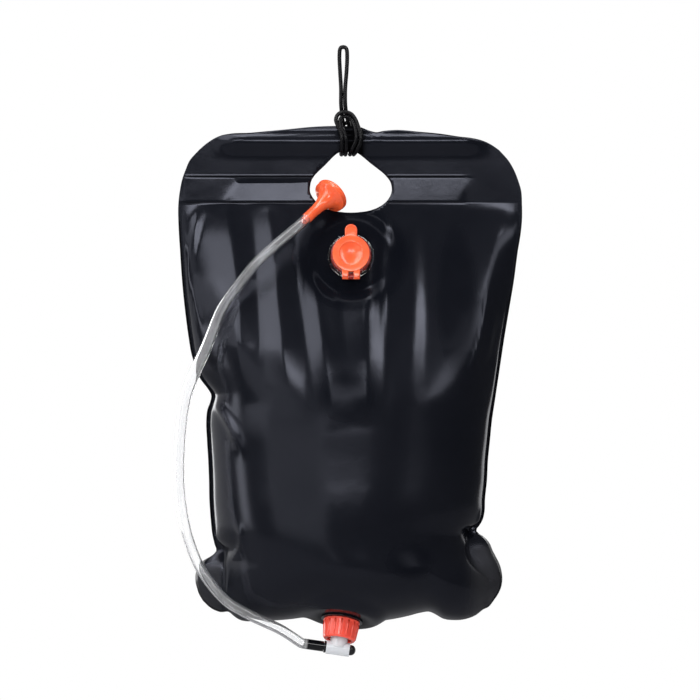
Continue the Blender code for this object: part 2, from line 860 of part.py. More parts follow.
def add_lid(material, frame):
    # The frame lies on the hinge's axis, so the lid is built away from it
    away = Vector((0.0, HINGE_REACH, -HINGE_HEIGHT))
    dish_floor = LID_TOP - LID_DISH_DEPTH
    plug_end = LID_BASE - LID_PLUG_LENGTH
    profile = [
        (0.0, dish_floor),
        (LID_DISH_RADIUS - LID_DISH_DEPTH, dish_floor),
        (LID_DISH_RADIUS, LID_TOP),
        (LID_RADIUS - LID_BEVEL, LID_TOP),
        (LID_RADIUS, LID_TOP - LID_BEVEL),
        (LID_RADIUS, LID_BASE),
        (PLUG_RADIUS, LID_BASE),
        (PLUG_RADIUS, plug_end),
        (PLUG_RADIUS - LID_PLUG_WALL, plug_end),
        (PLUG_RADIUS - LID_PLUG_WALL, LID_BASE),
        (0.0, LID_BASE),
    ]
    lid = turned("fill_lid", profile, frame, material)
    lid.location = away
    shelf = (LID_RADIUS + LID_DISH_RADIUS) / 2

    def build_tab(bm):
        level = LID_TOP - TAB_THICKNESS / 2
        end = TAB_REACH - TAB_WIDTH / 2
        length = end - shelf
        size = (TAB_WIDTH, length, TAB_THICKNESS)
        add_box(bm, size, away + Vector((0.0, shelf + length / 2, level)))

    def build_tab_end(bm):
        level = LID_TOP - TAB_THICKNESS / 2
        end = TAB_REACH - TAB_WIDTH / 2
        centre = away + Vector((0.0, end, level))
        add_cylinder(bm, TAB_WIDTH / 2, TAB_THICKNESS, centre, (0.0, 0.0, 1.0), STEPS)

    def build_lugs(bm):
        for side in (-1.0, 1.0):
            centre = (side * LUG_OFFSET, 0.0, 0.0)
            add_cylinder(bm, HINGE_LUG_RADIUS, HINGE_LUG_WIDTH, centre, (1.0, 0.0, 0.0))

    def build_arms(bm):
        # From the lid's edge down to the lugs, above the collar
        length = HINGE_REACH - shelf
        top = LID_TOP - LID_BEVEL - HINGE_HEIGHT
        bottom = LID_BASE - HINGE_HEIGHT
        size = (HINGE_LUG_WIDTH, length, top - bottom)
        for side in (-1.0, 1.0):
            centre = (side * LUG_OFFSET, length / 2, (top + bottom) / 2)
            add_box(bm, size, centre)

    def build_bore(bm):
        length = HINGE_LUG_SPACING + HINGE_LUG_WIDTH + OVERRUN * 2
        centre = (0.0, 0.0, 0.0)
        add_cylinder(bm, HINGE_PIN_RADIUS + GAP, length, centre, (1.0, 0.0, 0.0))

    pieces = (
        ("lid_tab", build_tab, "UNION"),
        ("lid_tab_end", build_tab_end, "UNION"),
        ("lid_arms", build_arms, "UNION"),
        ("lid_lugs", build_lugs, "UNION"),
        ("lid_pin_bore", build_bore, "DIFFERENCE"),
    )
    for name, build, operation in pieces:
        combine(lid, new_cutter(name, mesh_of(name, build), frame), operation)


def add_lid_seal(material, frame):
    top = LID_SEAL_BASE + LID_SEAL_THICKNESS
    inner = PLUG_RADIUS + GAP
    profile = ring_profile(inner + LID_SEAL_WIDTH, inner, top, LID_SEAL_BASE)
    seal = turned("lid_seal", profile, frame, material)
    seal.location = (0.0, HINGE_REACH, -HINGE_HEIGHT)


# The outlet and its slide valve

OUTLET_FLANGE_TOP = GAP + OUTLET_FLANGE_THICKNESS
OUTLET_GASKET_BASE = OUTLET_NECK_HEIGHT + GAP
VALVE_DISC_BASE = OUTLET_GASKET_BASE + OUTLET_GASKET_THICKNESS + GAP
VALVE_DISC_TOP = VALVE_DISC_BASE + VALVE_DISC_THICKNESS
NUT_TOP = OUTLET_FLANGE_TOP + GAP
NUT_END = NUT_TOP + NUT_HEIGHT
BARREL_HALF = BARREL_LENGTH / 2


def add_outlet_flange(material, frame):
    profile = [
        (OUTLET_NECK_RADIUS, OUTLET_NECK_HEIGHT),
        (OUTLET_NECK_RADIUS, OUTLET_FLANGE_TOP),
        (OUTLET_FLANGE_RADIUS, OUTLET_FLANGE_TOP),
        (OUTLET_FLANGE_RADIUS, GAP),
        (OUTLET_NECK_RADIUS, GAP),
        (OUTLET_NECK_RADIUS, -OUTLET_NECK_INSIDE),
        (OUTLET_NECK_BORE, -OUTLET_NECK_INSIDE),
        (OUTLET_NECK_BORE, OUTLET_NECK_HEIGHT),
    ]
    turned("outlet_flange", profile, frame, material)


def add_outlet_gasket(material, frame):
    top = OUTLET_GASKET_BASE + OUTLET_GASKET_THICKNESS
    profile = ring_profile(OUTLET_NECK_RADIUS, OUTLET_NECK_BORE, top, OUTLET_GASKET_BASE)
    turned("outlet_gasket", profile, frame, material)


def add_nut(material, frame):
    # A cup that hangs the valve body's disc on its narrow mouth
    shelf = VALVE_DISC_TOP + GAP
    profile = [
        (NUT_BOTTOM_RADIUS - NUT_FLOOR / 2, NUT_END),
        (NUT_BOTTOM_RADIUS, NUT_END - NUT_FLOOR / 2),
        (NUT_TOP_RADIUS, NUT_TOP),
        (NUT_BORE, NUT_TOP),
        (NUT_BORE, shelf),
        (NUT_MOUTH_RADIUS, shelf),
        (NUT_MOUTH_RADIUS, NUT_END),
    ]
    nut = turned("outlet_nut", profile, frame, material, FINE_STEPS)

    def build_grooves(bm):
        lean = math.atan((NUT_TOP_RADIUS - NUT_BOTTOM_RADIUS) / NUT_HEIGHT)
        length = NUT_HEIGHT - NUT_RIM * 2
        level = NUT_TOP + NUT_HEIGHT / 2
        radius = (NUT_TOP_RADIUS + NUT_BOTTOM_RADIUS) / 2 + NUT_GROOVE_RADIUS / 2
        for number in range(NUT_GROOVES):
            angle = math.tau * number / NUT_GROOVES
            outward = Vector((math.cos(angle), math.sin(angle), 0.0))
            axis = Vector((0.0, 0.0, 1.0)) - outward * math.tan(lean)
            centre = outward * radius + Vector((0.0, 0.0, level))
            add_cylinder(bm, NUT_GROOVE_RADIUS, length, centre, axis, SMALL_STEPS // 2)

    combine(nut, new_cutter("nut_grooves", mesh_of("nut_grooves", build_grooves), frame))


def add_valve_body(material, frame, barrel_frame):
    # A disc and stem held by the nut, with the cross barrel under them
    profile = [
        (0.0, BARREL_DROP),
        (STEM_RADIUS, BARREL_DROP),
        (STEM_RADIUS, VALVE_DISC_TOP),
        (OUTLET_NECK_RADIUS, VALVE_DISC_TOP),
        (OUTLET_NECK_RADIUS, VALVE_DISC_BASE),
        (0.0, VALVE_DISC_BASE),
    ]
    body = turned("valve_body", profile, frame, material)

    def build_barrel(bm):
        centre = (0.0, 0.0, 0.0)
        add_cylinder(bm, BARREL_RADIUS, BARREL_LENGTH, centre, (1.0, 0.0, 0.0), STEPS)

    def build_bore(bm):
        centre = (0.0, 0.0, 0.0)
        length = BARREL_LENGTH + OVERRUN * 2
        add_cylinder(bm, BARREL_BORE, length, centre, (1.0, 0.0, 0.0), STEPS)

    def build_stem_bore(bm):
        top = VALVE_DISC_BASE - OVERRUN
        centre = (0.0, 0.0, (top + BARREL_DROP) / 2)
        add_cylinder(bm, STEM_BORE, BARREL_DROP - top, centre, (0.0, 0.0, 1.0), SMALL_STEPS)

    barrel = new_cutter("barrel", mesh_of("barrel", build_barrel), barrel_frame)
    bore = new_cutter("barrel_bore", mesh_of("barrel_bore", build_bore), barrel_frame)
    stem_bore = new_cutter("stem_bore", mesh_of("stem_bore", build_stem_bore), frame)
    combine(body, barrel, "UNION")
    combine(body, bore)
    combine(body, stem_bore)


def o_ring_groove(place):
    half = O_RING_SECTION + GAP
    floor = O_RING_RADIUS - half
    return [
        (SPOOL_RADIUS, place + half),
        (floor, place + half),
        (floor, place - half),
        (SPOOL_RADIUS, place - half),
    ]


def spool_profile():
    # Along the barrel from its domed right end to the hose barb on the left
    end = BARREL_HALF + SPOOL_TRAVEL
    dome_start = end - SPOOL_RADIUS * SPOOL_DOME_SHARE
    profile = [(0.0, end)]
    for step in range(1, SPOOL_DOME_STEPS + 1):
        angle = math.pi / 2 * step / SPOOL_DOME_STEPS
        height = dome_start + (end - dome_start) * math.cos(angle)
        profile.append((SPOOL_RADIUS * math.sin(angle), height))
    for place in sorted(O_RING_PLACES, reverse=True):
        profile += o_ring_groove(place)
    disc = -BARREL_HALF - GAP
    disc_end = disc - SPOOL_DISC_THICKNESS
    barb_end = disc_end - BARB_LENGTH
    nose = BARB_RADIUS - SPOOL_BORE
    profile += [
        (SPOOL_RADIUS, disc),
        (SPOOL_DISC_RADIUS, disc),
        (SPOOL_DISC_RADIUS, disc_end),
        (BARB_RADIUS, disc_end),
        (BARB_RADIUS, barb_end + nose),
        (SPOOL_BORE, barb_end),
        (SPOOL_BORE, barb_end + SPOOL_BORE_LENGTH),
        (0.0, barb_end + SPOOL_BORE_LENGTH),
    ]
    return profile


def add_spool(material, frame):
    spool = turned("valve_spool", spool_profile(), frame, material, STEPS)
    spool.rotation_euler = (0.0, math.pi / 2, 0.0)

    def build_port(bm):
        centre = (SPOOL_PORT_SHIFT, 0.0, -SPOOL_RADIUS / 2)
        length = SPOOL_RADIUS + OVERRUN
        add_cylinder(bm, SPOOL_BORE, length, centre, (0.0, 0.0, 1.0), SMALL_STEPS)

    combine(spool, new_cutter("spool_port", mesh_of("spool_port", build_port), frame))


def add_o_ring(name, place, material, frame):
    def build(bm):
        rim = []
        for number in range(O_RING_SIDES):
            angle = math.tau * number / O_RING_SIDES
            radius = O_RING_RADIUS + O_RING_SECTION * math.cos(angle)
            rim.append(bm.verts.new((radius, 0.0, -O_RING_SECTION * math.sin(angle))))
        for number, corner in enumerate(rim):
            bm.edges.new((rim[number - 1], corner))

    ring = new_object(name, mesh_of(name, build), frame, material)
    turn(ring, SMALL_STEPS + SMALL_STEPS // 2)
    ring.rotation_euler = (0.0, math.pi / 2, 0.0)
    ring.location = (place, 0.0, 0.0)


# The shower head and the hose

HEAD_SHIFT = HOLE_SHIFT + HEAD_SHIFT_SHARE * HOLE_HALF_WIDTH
HEAD_DROP = HOLE_DROP + HEAD_FALL_SHARE * HOLE_FALL
HEAD_PLACE = Vector((HEAD_SHIFT, -HEAD_FORWARD, -HEAD_DROP))
HEAD_AXIS = Vector(HEAD_DIRECTION_SHARES).normalized()
HEAD_MATRIX = Matrix.Translation(HEAD_PLACE) @ HEAD_AXIS.to_track_quat("Z", "Y").to_matrix().to_4x4()
ROSE_SEAT_RADIUS = HEAD_RADIUS - HEAD_WALL
ROSE_PLATE_RADIUS = ROSE_SEAT_RADIUS - GAP


def add_head_body(material, frame):
    outer = []
    inner = []
    rim_base = HEAD_LENGTH - HEAD_RIM_DEPTH
    for along, out in HEAD_FLARE_SHARES:
        radius = HEAD_NECK_RADIUS + out * (HEAD_RADIUS - HEAD_NECK_RADIUS)
        outer.append((radius, along * rim_base))
        inner.append((radius - HEAD_WALL, along * rim_base))
    profile = [(HEAD_RADIUS, HEAD_LENGTH)]
    profile += reversed(outer)
    profile += [(HEAD_STUB_RADIUS, 0.0), (HEAD_STUB_RADIUS, -HEAD_STUB_LENGTH)]
    stub_bore = HEAD_STUB_RADIUS - HEAD_WALL
    profile += [(stub_bore, -HEAD_STUB_LENGTH), (stub_bore, 0.0)]
    profile += inner[1:]
    profile.append((ROSE_SEAT_RADIUS, HEAD_LENGTH))
    turned("head_body", profile, frame, material)


def add_rose_plate(material, frame):
    top = HEAD_LENGTH - GAP * 2
    base = top - ROSE_THICKNESS
    plate = turned("rose_plate", rod_profile(ROSE_PLATE_RADIUS, top, base), frame, material)

    def build_holes(bm):
        reach = ROSE_PLATE_RADIUS - ROSE_RING_WIDTH
        depth = ROSE_THICKNESS + OVERRUN * 2
        for share, count in ROSE_CIRCLES:
            for number in range(count):
                angle = math.tau * number / count
                centre = Vector((math.cos(angle), math.sin(angle), 0.0)) * reach * share
                centre.z = (top + base) / 2
                add_cylinder(bm, ROSE_HOLE_RADIUS, depth, centre, (0.0, 0.0, 1.0), ROSE_HOLE_SIDES)

    combine(plate, new_cutter("rose_holes", mesh_of("rose_holes", build_holes), frame))


def add_rose_ring(material, frame):
    # Snaps in behind the plate and holds it against the rim
    top = HEAD_LENGTH - GAP * 3 - ROSE_THICKNESS
    base = top - ROSE_THICKNESS
    outer = ROSE_PLATE_RADIUS
    profile = ring_profile(outer, outer - ROSE_RING_WIDTH * 2, top, base)
    turned("rose_ring", profile, frame, material)


def add_hose(material, barrel_frame):
    along = (barrel_frame.matrix_world.to_3x3() @ Vector((1.0, 0.0, 0.0))).normalized()
    middle = barrel_frame.matrix_world.translation
    start = middle - along * (BARREL_HALF + SPOOL_DISC_THICKNESS + GAP * 2)
    inner_end = start - along * (BARB_LENGTH + HOSE_RADIUS)
    end = HEAD_PLACE - HEAD_AXIS * GAP
    outer_end = end - HEAD_AXIS * (HEAD_STUB_LENGTH + HOSE_RADIUS)
    middle_points = smooth_points(
        [inner_end, *HOSE_ROUTE, outer_end], HOSE_POINT_SPACING, False
    )
    points = [start, *middle_points, end]
    hose = tube_curve("hose_curve", points, HOSE_RADIUS, False, material)
    bpy.context.view_layer.update()
    graph = bpy.context.evaluated_depsgraph_get()
    mesh = bpy.data.meshes.new_from_object(hose.evaluated_get(graph))
    bm = bmesh.new()
    bm.from_mesh(mesh)
    bmesh.ops.remove_doubles(bm, verts=bm.verts, dist=MERGE)
    bm.to_mesh(mesh)
    bm.free()
    tube = new_object("hose", mesh, None, None)
    tube.matrix_world = hose.matrix_world
    bpy.data.objects.remove(hose, do_unlink=True)

    def build_bores(bm):
        lengths = (
            (start, -along, BARB_LENGTH + GAP),
            (end, -HEAD_AXIS, HEAD_STUB_LENGTH + GAP),
        )
        for mouth, way, depth in lengths:
            centre = mouth + way * (depth - OVERRUN) / 2
            add_cylinder(bm, HOSE_BORE, depth + OVERRUN, centre, way, SMALL_STEPS)

    combine(tube, new_cutter("hose_bores", mesh_of("hose_bores", build_bores)))
    length = sum((b - a).length for a, b in zip(points, points[1:]))
    print("hose length in mm:", round(length * 1000))


def main():
    film = new_material("black_film", (0.03, 0.032, 0.042), 0.28)
    rod_plastic = new_material("rod_plastic", (0.6, 0.6, 0.6), 0.5)
    cord_black = new_material("cord_black", (0.01, 0.01, 0.011), 0.25)
    orange = new_material("orange_plastic", (0.93, 0.13, 0.06), 0.3)
    red = new_material("red_plastic", (0.8, 0.06, 0.03), 0.3)
    clear = new_material("clear_plastic", (0.85, 0.86, 0.9), 0.1, 0.35)
    rubber = new_material("seal_rubber", (0.02, 0.02, 0.02), 0.7)
    black = new_material("black_plastic", (0.008, 0.008, 0.01), 0.2)
    steel = new_material("pin_steel", (0.6, 0.6, 0.6), 0.3)

    fill_turn = Matrix.Rotation(math.pi / 2 - FILL_TILT, 4, "X")
    fill_frame = new_frame("fill_frame", Matrix.Translation(FILL_CENTRE) @ fill_turn)
    hinge_place = Matrix.Translation((0.0, -HINGE_REACH, HINGE_HEIGHT))
    lid_frame = new_frame("lid_hinge_frame", hinge_place, fill_frame)
    outlet_frame = new_frame("outlet_frame", OUTLET_MATRIX)
    barrel_place = Matrix.Translation((0.0, 0.0, BARREL_DROP))
    barrel_frame = new_frame("barrel_frame", barrel_place, outlet_frame)
    head_frame = new_frame("head_frame", HEAD_MATRIX)
    bpy.context.view_layer.update()

    add_panels(film, fill_frame, outlet_frame)
    add_rod(rod_plastic)
    add_hang_cord(cord_black)

    add_fill_flange(clear, fill_frame)
    add_fill_gasket(rubber, fill_frame)
    add_collar(orange, fill_frame)
    add_hinge_pin(steel, fill_frame)
    add_lid(orange, lid_frame)
    add_lid_seal(rubber, lid_frame)

    add_outlet_flange(clear, outlet_frame)
    add_outlet_gasket(rubber, outlet_frame)
    add_nut(red, outlet_frame)
    add_valve_body(clear, outlet_frame, barrel_frame)
    add_spool(black, barrel_frame)
    for name, place in zip(("spool_o_ring_inner", "spool_o_ring_outer"), O_RING_PLACES):
        add_o_ring(name, place, rubber, barrel_frame)

    add_head_body(orange, head_frame)
    add_rose_plate(black, head_frame)
    add_rose_ring(orange, head_frame)
    add_hose(clear, barrel_frame)


main()
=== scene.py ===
import json
import math

import bmesh
import bpy
import numpy as np
from mathutils import Matrix, Vector
from mathutils.bvhtree import BVHTree


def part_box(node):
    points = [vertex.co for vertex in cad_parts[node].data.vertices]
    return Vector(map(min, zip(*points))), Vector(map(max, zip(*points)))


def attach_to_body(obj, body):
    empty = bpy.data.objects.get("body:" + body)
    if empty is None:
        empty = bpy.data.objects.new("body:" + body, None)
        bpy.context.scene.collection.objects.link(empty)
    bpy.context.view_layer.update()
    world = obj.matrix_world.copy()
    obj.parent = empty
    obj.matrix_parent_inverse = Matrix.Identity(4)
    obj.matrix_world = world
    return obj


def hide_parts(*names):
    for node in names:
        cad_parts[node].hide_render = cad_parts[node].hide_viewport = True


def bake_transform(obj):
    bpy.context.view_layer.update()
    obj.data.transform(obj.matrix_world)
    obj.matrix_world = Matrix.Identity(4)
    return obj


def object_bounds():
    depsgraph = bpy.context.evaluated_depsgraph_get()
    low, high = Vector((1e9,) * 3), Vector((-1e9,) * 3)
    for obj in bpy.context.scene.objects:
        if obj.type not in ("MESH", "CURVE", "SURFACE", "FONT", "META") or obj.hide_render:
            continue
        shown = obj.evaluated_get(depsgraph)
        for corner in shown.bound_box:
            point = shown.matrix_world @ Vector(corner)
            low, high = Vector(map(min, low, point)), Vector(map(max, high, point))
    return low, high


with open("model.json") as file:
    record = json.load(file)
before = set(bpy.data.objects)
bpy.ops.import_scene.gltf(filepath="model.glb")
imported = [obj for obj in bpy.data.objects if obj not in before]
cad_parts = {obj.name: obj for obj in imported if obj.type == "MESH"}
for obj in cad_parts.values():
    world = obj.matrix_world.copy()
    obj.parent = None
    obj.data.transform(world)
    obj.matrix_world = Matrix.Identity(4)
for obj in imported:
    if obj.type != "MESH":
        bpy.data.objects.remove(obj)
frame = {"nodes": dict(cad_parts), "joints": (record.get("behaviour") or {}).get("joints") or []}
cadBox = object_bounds()
joints = {joint["name"]: joint for joint in frame["joints"]}
print("frame loaded:", len(frame["nodes"]), "nodes")


# The photograph is 700 pixels square; the hanging point is at hangColumn and hangRow
photo = {
    "pixels": 700,
    "metresPerPixel": 0.001159,
    "hangColumn": 343.0,
    "hangRow": 49.0,
    "cameraDistance": 8.0,
    "sensorWidth": 36.0,
}


def toMetres(column, row):
    across = (column - photo["hangColumn"]) * photo["metresPerPixel"]
    up = (photo["hangRow"] - row) * photo["metresPerPixel"]
    return across, up


def linked(name, data):
    thing = bpy.data.objects.new(name, data)
    bpy.context.scene.collection.objects.link(thing)
    return thing


def makeCamera():
    middle = photo["pixels"] / 2
    across, up = toMetres(middle, middle)
    seenWidth = photo["pixels"] * photo["metresPerPixel"]
    lens = bpy.data.cameras.new("photographCamera")
    lens.sensor_width = photo["sensorWidth"]
    lens.lens = photo["sensorWidth"] * photo["cameraDistance"] / seenWidth
    lens.clip_end = photo["cameraDistance"] * 4
    camera = linked("photographCamera", lens)
    camera.location = (across, -photo["cameraDistance"], up)
    camera.rotation_euler = (math.pi / 2, 0.0, 0.0)
    bpy.context.scene.camera = camera


makeCamera()
print("camera placed")


# Curves and small helpers

def smoothStep(share):
    share = np.clip(share, 0.0, 1.0)
    return share * share * (3.0 - 2.0 * share)


def rising(value, start, span):
    return smoothStep((value - start) / span)


def falling(value, end, span):
    return smoothStep((end - value) / span)


def smoothCurve(pairs, at):
    # A smooth function through (place, value) pairs
    places, values = np.array(pairs, float).T
    slopes = np.gradient(values, places)
    index = np.clip(np.searchsorted(places, at) - 1, 0, len(places) - 2)
    span = places[index + 1] - places[index]
    share = np.clip((at - places[index]) / span, 0.0, 1.0)
    square, cube = share**2, share**3
    return (
        (2 * cube - 3 * square + 1) * values[index]
        + (cube - 2 * square + share) * span * slopes[index]
        + (3 * square - 2 * cube) * values[index + 1]
        + (cube - square) * span * slopes[index + 1]
    )


def smoothLine(route, perSpan=8, closed=False):
    # Points on a smooth line through the route's points
    points = np.array(route, float)
    ends = [points[-1:], points, points[:2]] if closed else [points[:1], points, points[-1:]]
    padded = np.concatenate(ends)
    share = np.arange(perSpan)[:, None] / perSpan
    line = []
    for before, start, end, after in zip(padded, padded[1:], padded[2:], padded[3:]):
        bend = (2 * before - 5 * start + 4 * end - after) * share**2
        twist = (3 * start - before - 3 * end + after) * share**3
        line.append(0.5 * (2 * start + (end - before) * share + bend + twist))
    line.append(points[:1] if closed else points[-1:])
    return np.concatenate(line)


def distances(line):
    return np.concatenate([[0.0], np.cumsum(np.linalg.norm(np.diff(line, axis=0), axis=1))])


def evenLine(line, step):
    # The same line with points a step apart
    along = distances(line)
    at = np.linspace(0.0, along[-1], max(2, round(along[-1] / step) + 1))
    return np.stack([np.interp(at, along, line[:, axis]) for axis in range(3)], axis=1)


def newPiece(name, vertices, faces, material):
    mesh = bpy.data.meshes.new(name)
    mesh.from_pydata([tuple(vertex) for vertex in vertices], [], [tuple(face) for face in faces])
    mesh.materials.append(material)
    mesh.shade_smooth()
    return linked(name, mesh)


def builtPiece(name, build, material):
    mesh = bpy.data.meshes.new(name)
    build.to_mesh(mesh)
    build.free()
    mesh.materials.append(material)
    return linked(name, mesh)


def attach(piece, body, slot, *nodes):
    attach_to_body(piece, body)
    if nodes:
        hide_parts(*nodes)


def addAttribute(piece, name, values):
    attribute = piece.data.attributes.new(name, "FLOAT", "POINT")
    attribute.data.foreach_set("value", values.astype(np.float32))


def sharpEdges(piece, degrees=38.0):
    piece.data.shade_smooth()
    piece.data.set_sharp_from_angle(angle=math.radians(degrees))
    return piece


def outward(piece):
    build = bmesh.new()
    build.from_mesh(piece.data)
    bmesh.ops.remove_doubles(build, verts=build.verts, dist=1e-6)
    bmesh.ops.recalc_face_normals(build, faces=build.faces)
    build.to_mesh(piece.data)
    build.free()
    return piece


def baked(piece):
    # The evaluated mesh takes the place of the modifiers
    bpy.context.view_layer.update()
    graph = bpy.context.evaluated_depsgraph_get()
    mesh = bpy.data.meshes.new_from_object(piece.evaluated_get(graph))
    piece.modifiers.clear()
    piece.data = mesh
    return piece


def removed(pieces):
    for piece in pieces:
        bpy.data.objects.remove(piece, do_unlink=True)


def joined(name, pieces):
    build = bmesh.new()
    for piece in pieces:
        build.from_mesh(piece.data)
    whole = builtPiece(name, build, pieces[0].data.materials[0])
    removed(pieces)
    return sharpEdges(whole)


def combined(piece, tools, operation):
    for tool in tools:
        modifier = piece.modifiers.new(operation.lower(), "BOOLEAN")
        modifier.operation = operation
        modifier.solver = "EXACT"
        modifier.object = tool
    baked(piece)
    removed(tools)
    return piece


def rounded(profile, steps=4):
    # A profile's corners, (radius, height, fillet), with each fillet as an arc
    points = [Vector(corner[:2]) for corner in profile]
    result = []
    for index, corner in enumerate(profile):
        here = points[index]
        fillet = corner[2] if len(corner) > 2 else 0.0
        if fillet <= 0.0:
            result.append(tuple(here))
            continue
        toBefore = points[index - 1] - here
        toAfter = points[(index + 1) % len(points)] - here
        reach = min(fillet, toBefore.length * 0.49, toAfter.length * 0.49)
        start = here + toBefore.normalized() * reach
        end = here + toAfter.normalized() * reach
        for step in range(steps + 1):
            share = step / steps
            point = start.lerp(here, share).lerp(here.lerp(end, share), share)
            result.append(tuple(point))
    return result


def lathe(name, profile, where, material, sides=72, axisZ=True):
    # A closed profile turned round its own axis; corners on the axis close it
    vertices, faces, starts = [], [], []
    for radius, height in rounded(profile):
        pole = radius < 1e-7
        starts.append((len(vertices), pole))
        for side in range(1 if pole else sides):
            angle = math.tau * side / sides
            vertices.append((radius * math.cos(angle), radius * math.sin(angle), height))
    ends = starts[1:] if starts[0][1] and starts[-1][1] else [*starts[1:], starts[0]]
    for (first, firstPole), (second, secondPole) in zip(starts, ends):
        if firstPole and secondPole:
            continue
        for side in range(sides):
            following = (side + 1) % sides
            if firstPole:
                faces.append((first, second + side, second + following))
            elif secondPole:
                faces.append((first + side, second, first + following))
            else:
                faces.append((first + side, second + side, second + following, first + following))
    piece = outward(newPiece(name, vertices, faces, material))
    if not axisZ:
        piece.data.transform(Matrix.Rotation(math.pi / 2, 4, "Y"))
    piece.data.transform(where)
    return sharpEdges(piece)


def bar(name, radius, low, high, fillet, where, material, sides=40, axisZ=False):
    profile = [(0.0, high), (radius, high, fillet), (radius, low, fillet), (0.0, low)]
    return lathe(name, profile, where, material, sides, axisZ)


def slab(name, outline, low, high, bevel, where, material):
    # A flat outline raised from low to high, with rounded edges
    build = bmesh.new()
    face = build.faces.new([build.verts.new((x, y, low)) for x, y in outline])
    moved = bmesh.ops.extrude_face_region(build, geom=[face])
    raised = [item for item in moved["geom"] if isinstance(item, bmesh.types.BMVert)]
    bmesh.ops.translate(build, verts=raised, vec=(0.0, 0.0, high - low))
    bmesh.ops.recalc_face_normals(build, faces=build.faces)
    rims = [edge for edge in build.edges if abs(edge.verts[0].co.z - edge.verts[1].co.z) < 1e-9]
    bmesh.ops.bevel(build, geom=rims, offset=bevel, segments=3, profile=0.5, affect="EDGES")
    piece = builtPiece(name, build, material)
    piece.data.transform(where)
    return sharpEdges(piece)


def tube(name, line, radius, material, sides=20, bore=0.0, flats=()):
    # A tube along a line, with its length and turn as UV; flats are (share, half width, amount)
    line = np.array(line, float)
    tangents = np.gradient(line, axis=0)
    tangents /= np.linalg.norm(tangents, axis=1)[:, None]
    normal = np.cross(tangents[0], (0.3, 0.9, 0.1))
    along = distances(line)
    angles = np.arange(sides)[:, None] * math.tau / sides
    rings = []
    for tangent, far in zip(tangents, along / along[-1]):
        normal = normal - tangent * (normal @ tangent)
        normal /= np.linalg.norm(normal)
        squeeze = sum(amount * smoothStep(1.0 - abs(far - share) / half) for share, half, amount in flats)
        wide = np.cos(angles) * normal * (1.0 + squeeze)
        rings.append(wide + np.sin(angles) * np.cross(tangent, normal) * (1.0 - squeeze))
    walls = [wall for wall in (radius, bore) if wall > 0.0]
    vertices = np.concatenate([(line[:, None] + wall * np.array(rings)).reshape(-1, 3) for wall in walls])
    index = np.arange(len(line) * sides).reshape(-1, sides)
    turned = np.roll(index, -1, axis=1)
    quads = np.stack([index[:-1], turned[:-1], turned[1:], index[1:]], axis=-1).reshape(-1, 4)
    faces = quads.tolist()
    if bore > 0.0:
        faces += (quads[:, ::-1] + index.size).tolist()
        for end, order in ((0, [0, 1, 2, 3]), (-1, [0, 3, 2, 1])):
            ring, others = index[end], turned[end]
            rim = np.stack([ring, ring + index.size, others + index.size, others], axis=-1)
            faces += rim[:, order].tolist()
    else:
        faces += [index[0][::-1].tolist(), index[-1].tolist()]
    piece = newPiece(name, vertices, faces, material)
    lengths = np.tile(np.repeat(along, sides), len(walls))
    layer = piece.data.uv_layers.new(name="alongTube")
    for polygon in piece.data.polygons:
        turns = [vertex % sides for vertex in polygon.vertices]
        wraps = max(turns) - min(turns) > sides / 2 and len(turns) == 4
        for loop, vertex, turn in zip(polygon.loop_indices, polygon.vertices, turns):
            around = turn + (sides if wraps and turn < sides / 2 else 0)
            layer.data[loop].uv = (float(lengths[vertex]), around / sides)
    return sharpEdges(piece, 60.0)


# Materials, all worked out from Object coordinates, UV or attributes

def addNode(tree, kind, inputs=None, **settings):
    node = tree.nodes.new(kind)
    for key, value in settings.items():
        setattr(node, key, value)
    for key, value in (inputs or {}).items():
        if isinstance(value, bpy.types.NodeSocket):
            tree.links.new(value, node.inputs[key])
        else:
            node.inputs[key].default_value = value
    return node


def newMaterial(name, color, roughness, sockets=None):
    material = bpy.data.materials.new(name)
    material.use_nodes = True
    shader = material.node_tree.nodes["Principled BSDF"]
    values = {"Base Color": (*color, 1.0), "Roughness": roughness, **(sockets or {})}
    for socket, value in values.items():
        shader.inputs[socket].default_value = value
    material.diffuse_color = (*color, 1.0)
    return material, material.node_tree, shader


def place(tree):
    return addNode(tree, "ShaderNodeTexCoord").outputs["Object"]


def attributeOf(tree, name):
    return addNode(tree, "ShaderNodeAttribute", attribute_name=name).outputs["Fac"]


def worked(tree, operation, *values):
    return addNode(tree, "ShaderNodeMath", dict(enumerate(values)), operation=operation).outputs[0]


def noise(tree, scale, detail=3.0, where=None):
    inputs = {"Vector": where or place(tree), "Scale": scale, "Detail": detail, "Roughness": 0.55}
    return addNode(tree, "ShaderNodeTexNoise", inputs).outputs["Fac"]


def mapped(tree, value, low, high, fromLow=0.3, fromHigh=0.7):
    inputs = {"Value": value, "From Min": fromLow, "From Max": fromHigh, "To Min": low, "To Max": high}
    return addNode(tree, "ShaderNodeMapRange", inputs).outputs["Result"]


def bumps(tree, shader, layers):
    # Each layer is a height, its strength and its depth in metres
    normal = None
    for height, strength, depth in layers:
        inputs = {"Height": height, "Strength": strength, "Distance": depth}
        if normal:
            inputs["Normal"] = normal
        normal = addNode(tree, "ShaderNodeBump", inputs).outputs["Normal"]
    tree.links.new(normal, shader.inputs["Normal"])

def mixedColor(tree, factor, first, second):
    # Sockets 6 and 7 are the two colours of the mix
    mix = addNode(tree, "ShaderNodeMix", data_type="RGBA")
    tree.links.new(factor, mix.inputs[0])
    for index, value in ((6, first), (7, second)):
        if isinstance(value, bpy.types.NodeSocket):
            tree.links.new(value, mix.inputs[index])
        else:
            mix.inputs[index].default_value = (*value, 1.0)
    return mix.outputs[2]


def toned(tree, shader, factor, first, second):
    tree.links.new(mixedColor(tree, factor, first, second), shader.inputs["Base Color"])


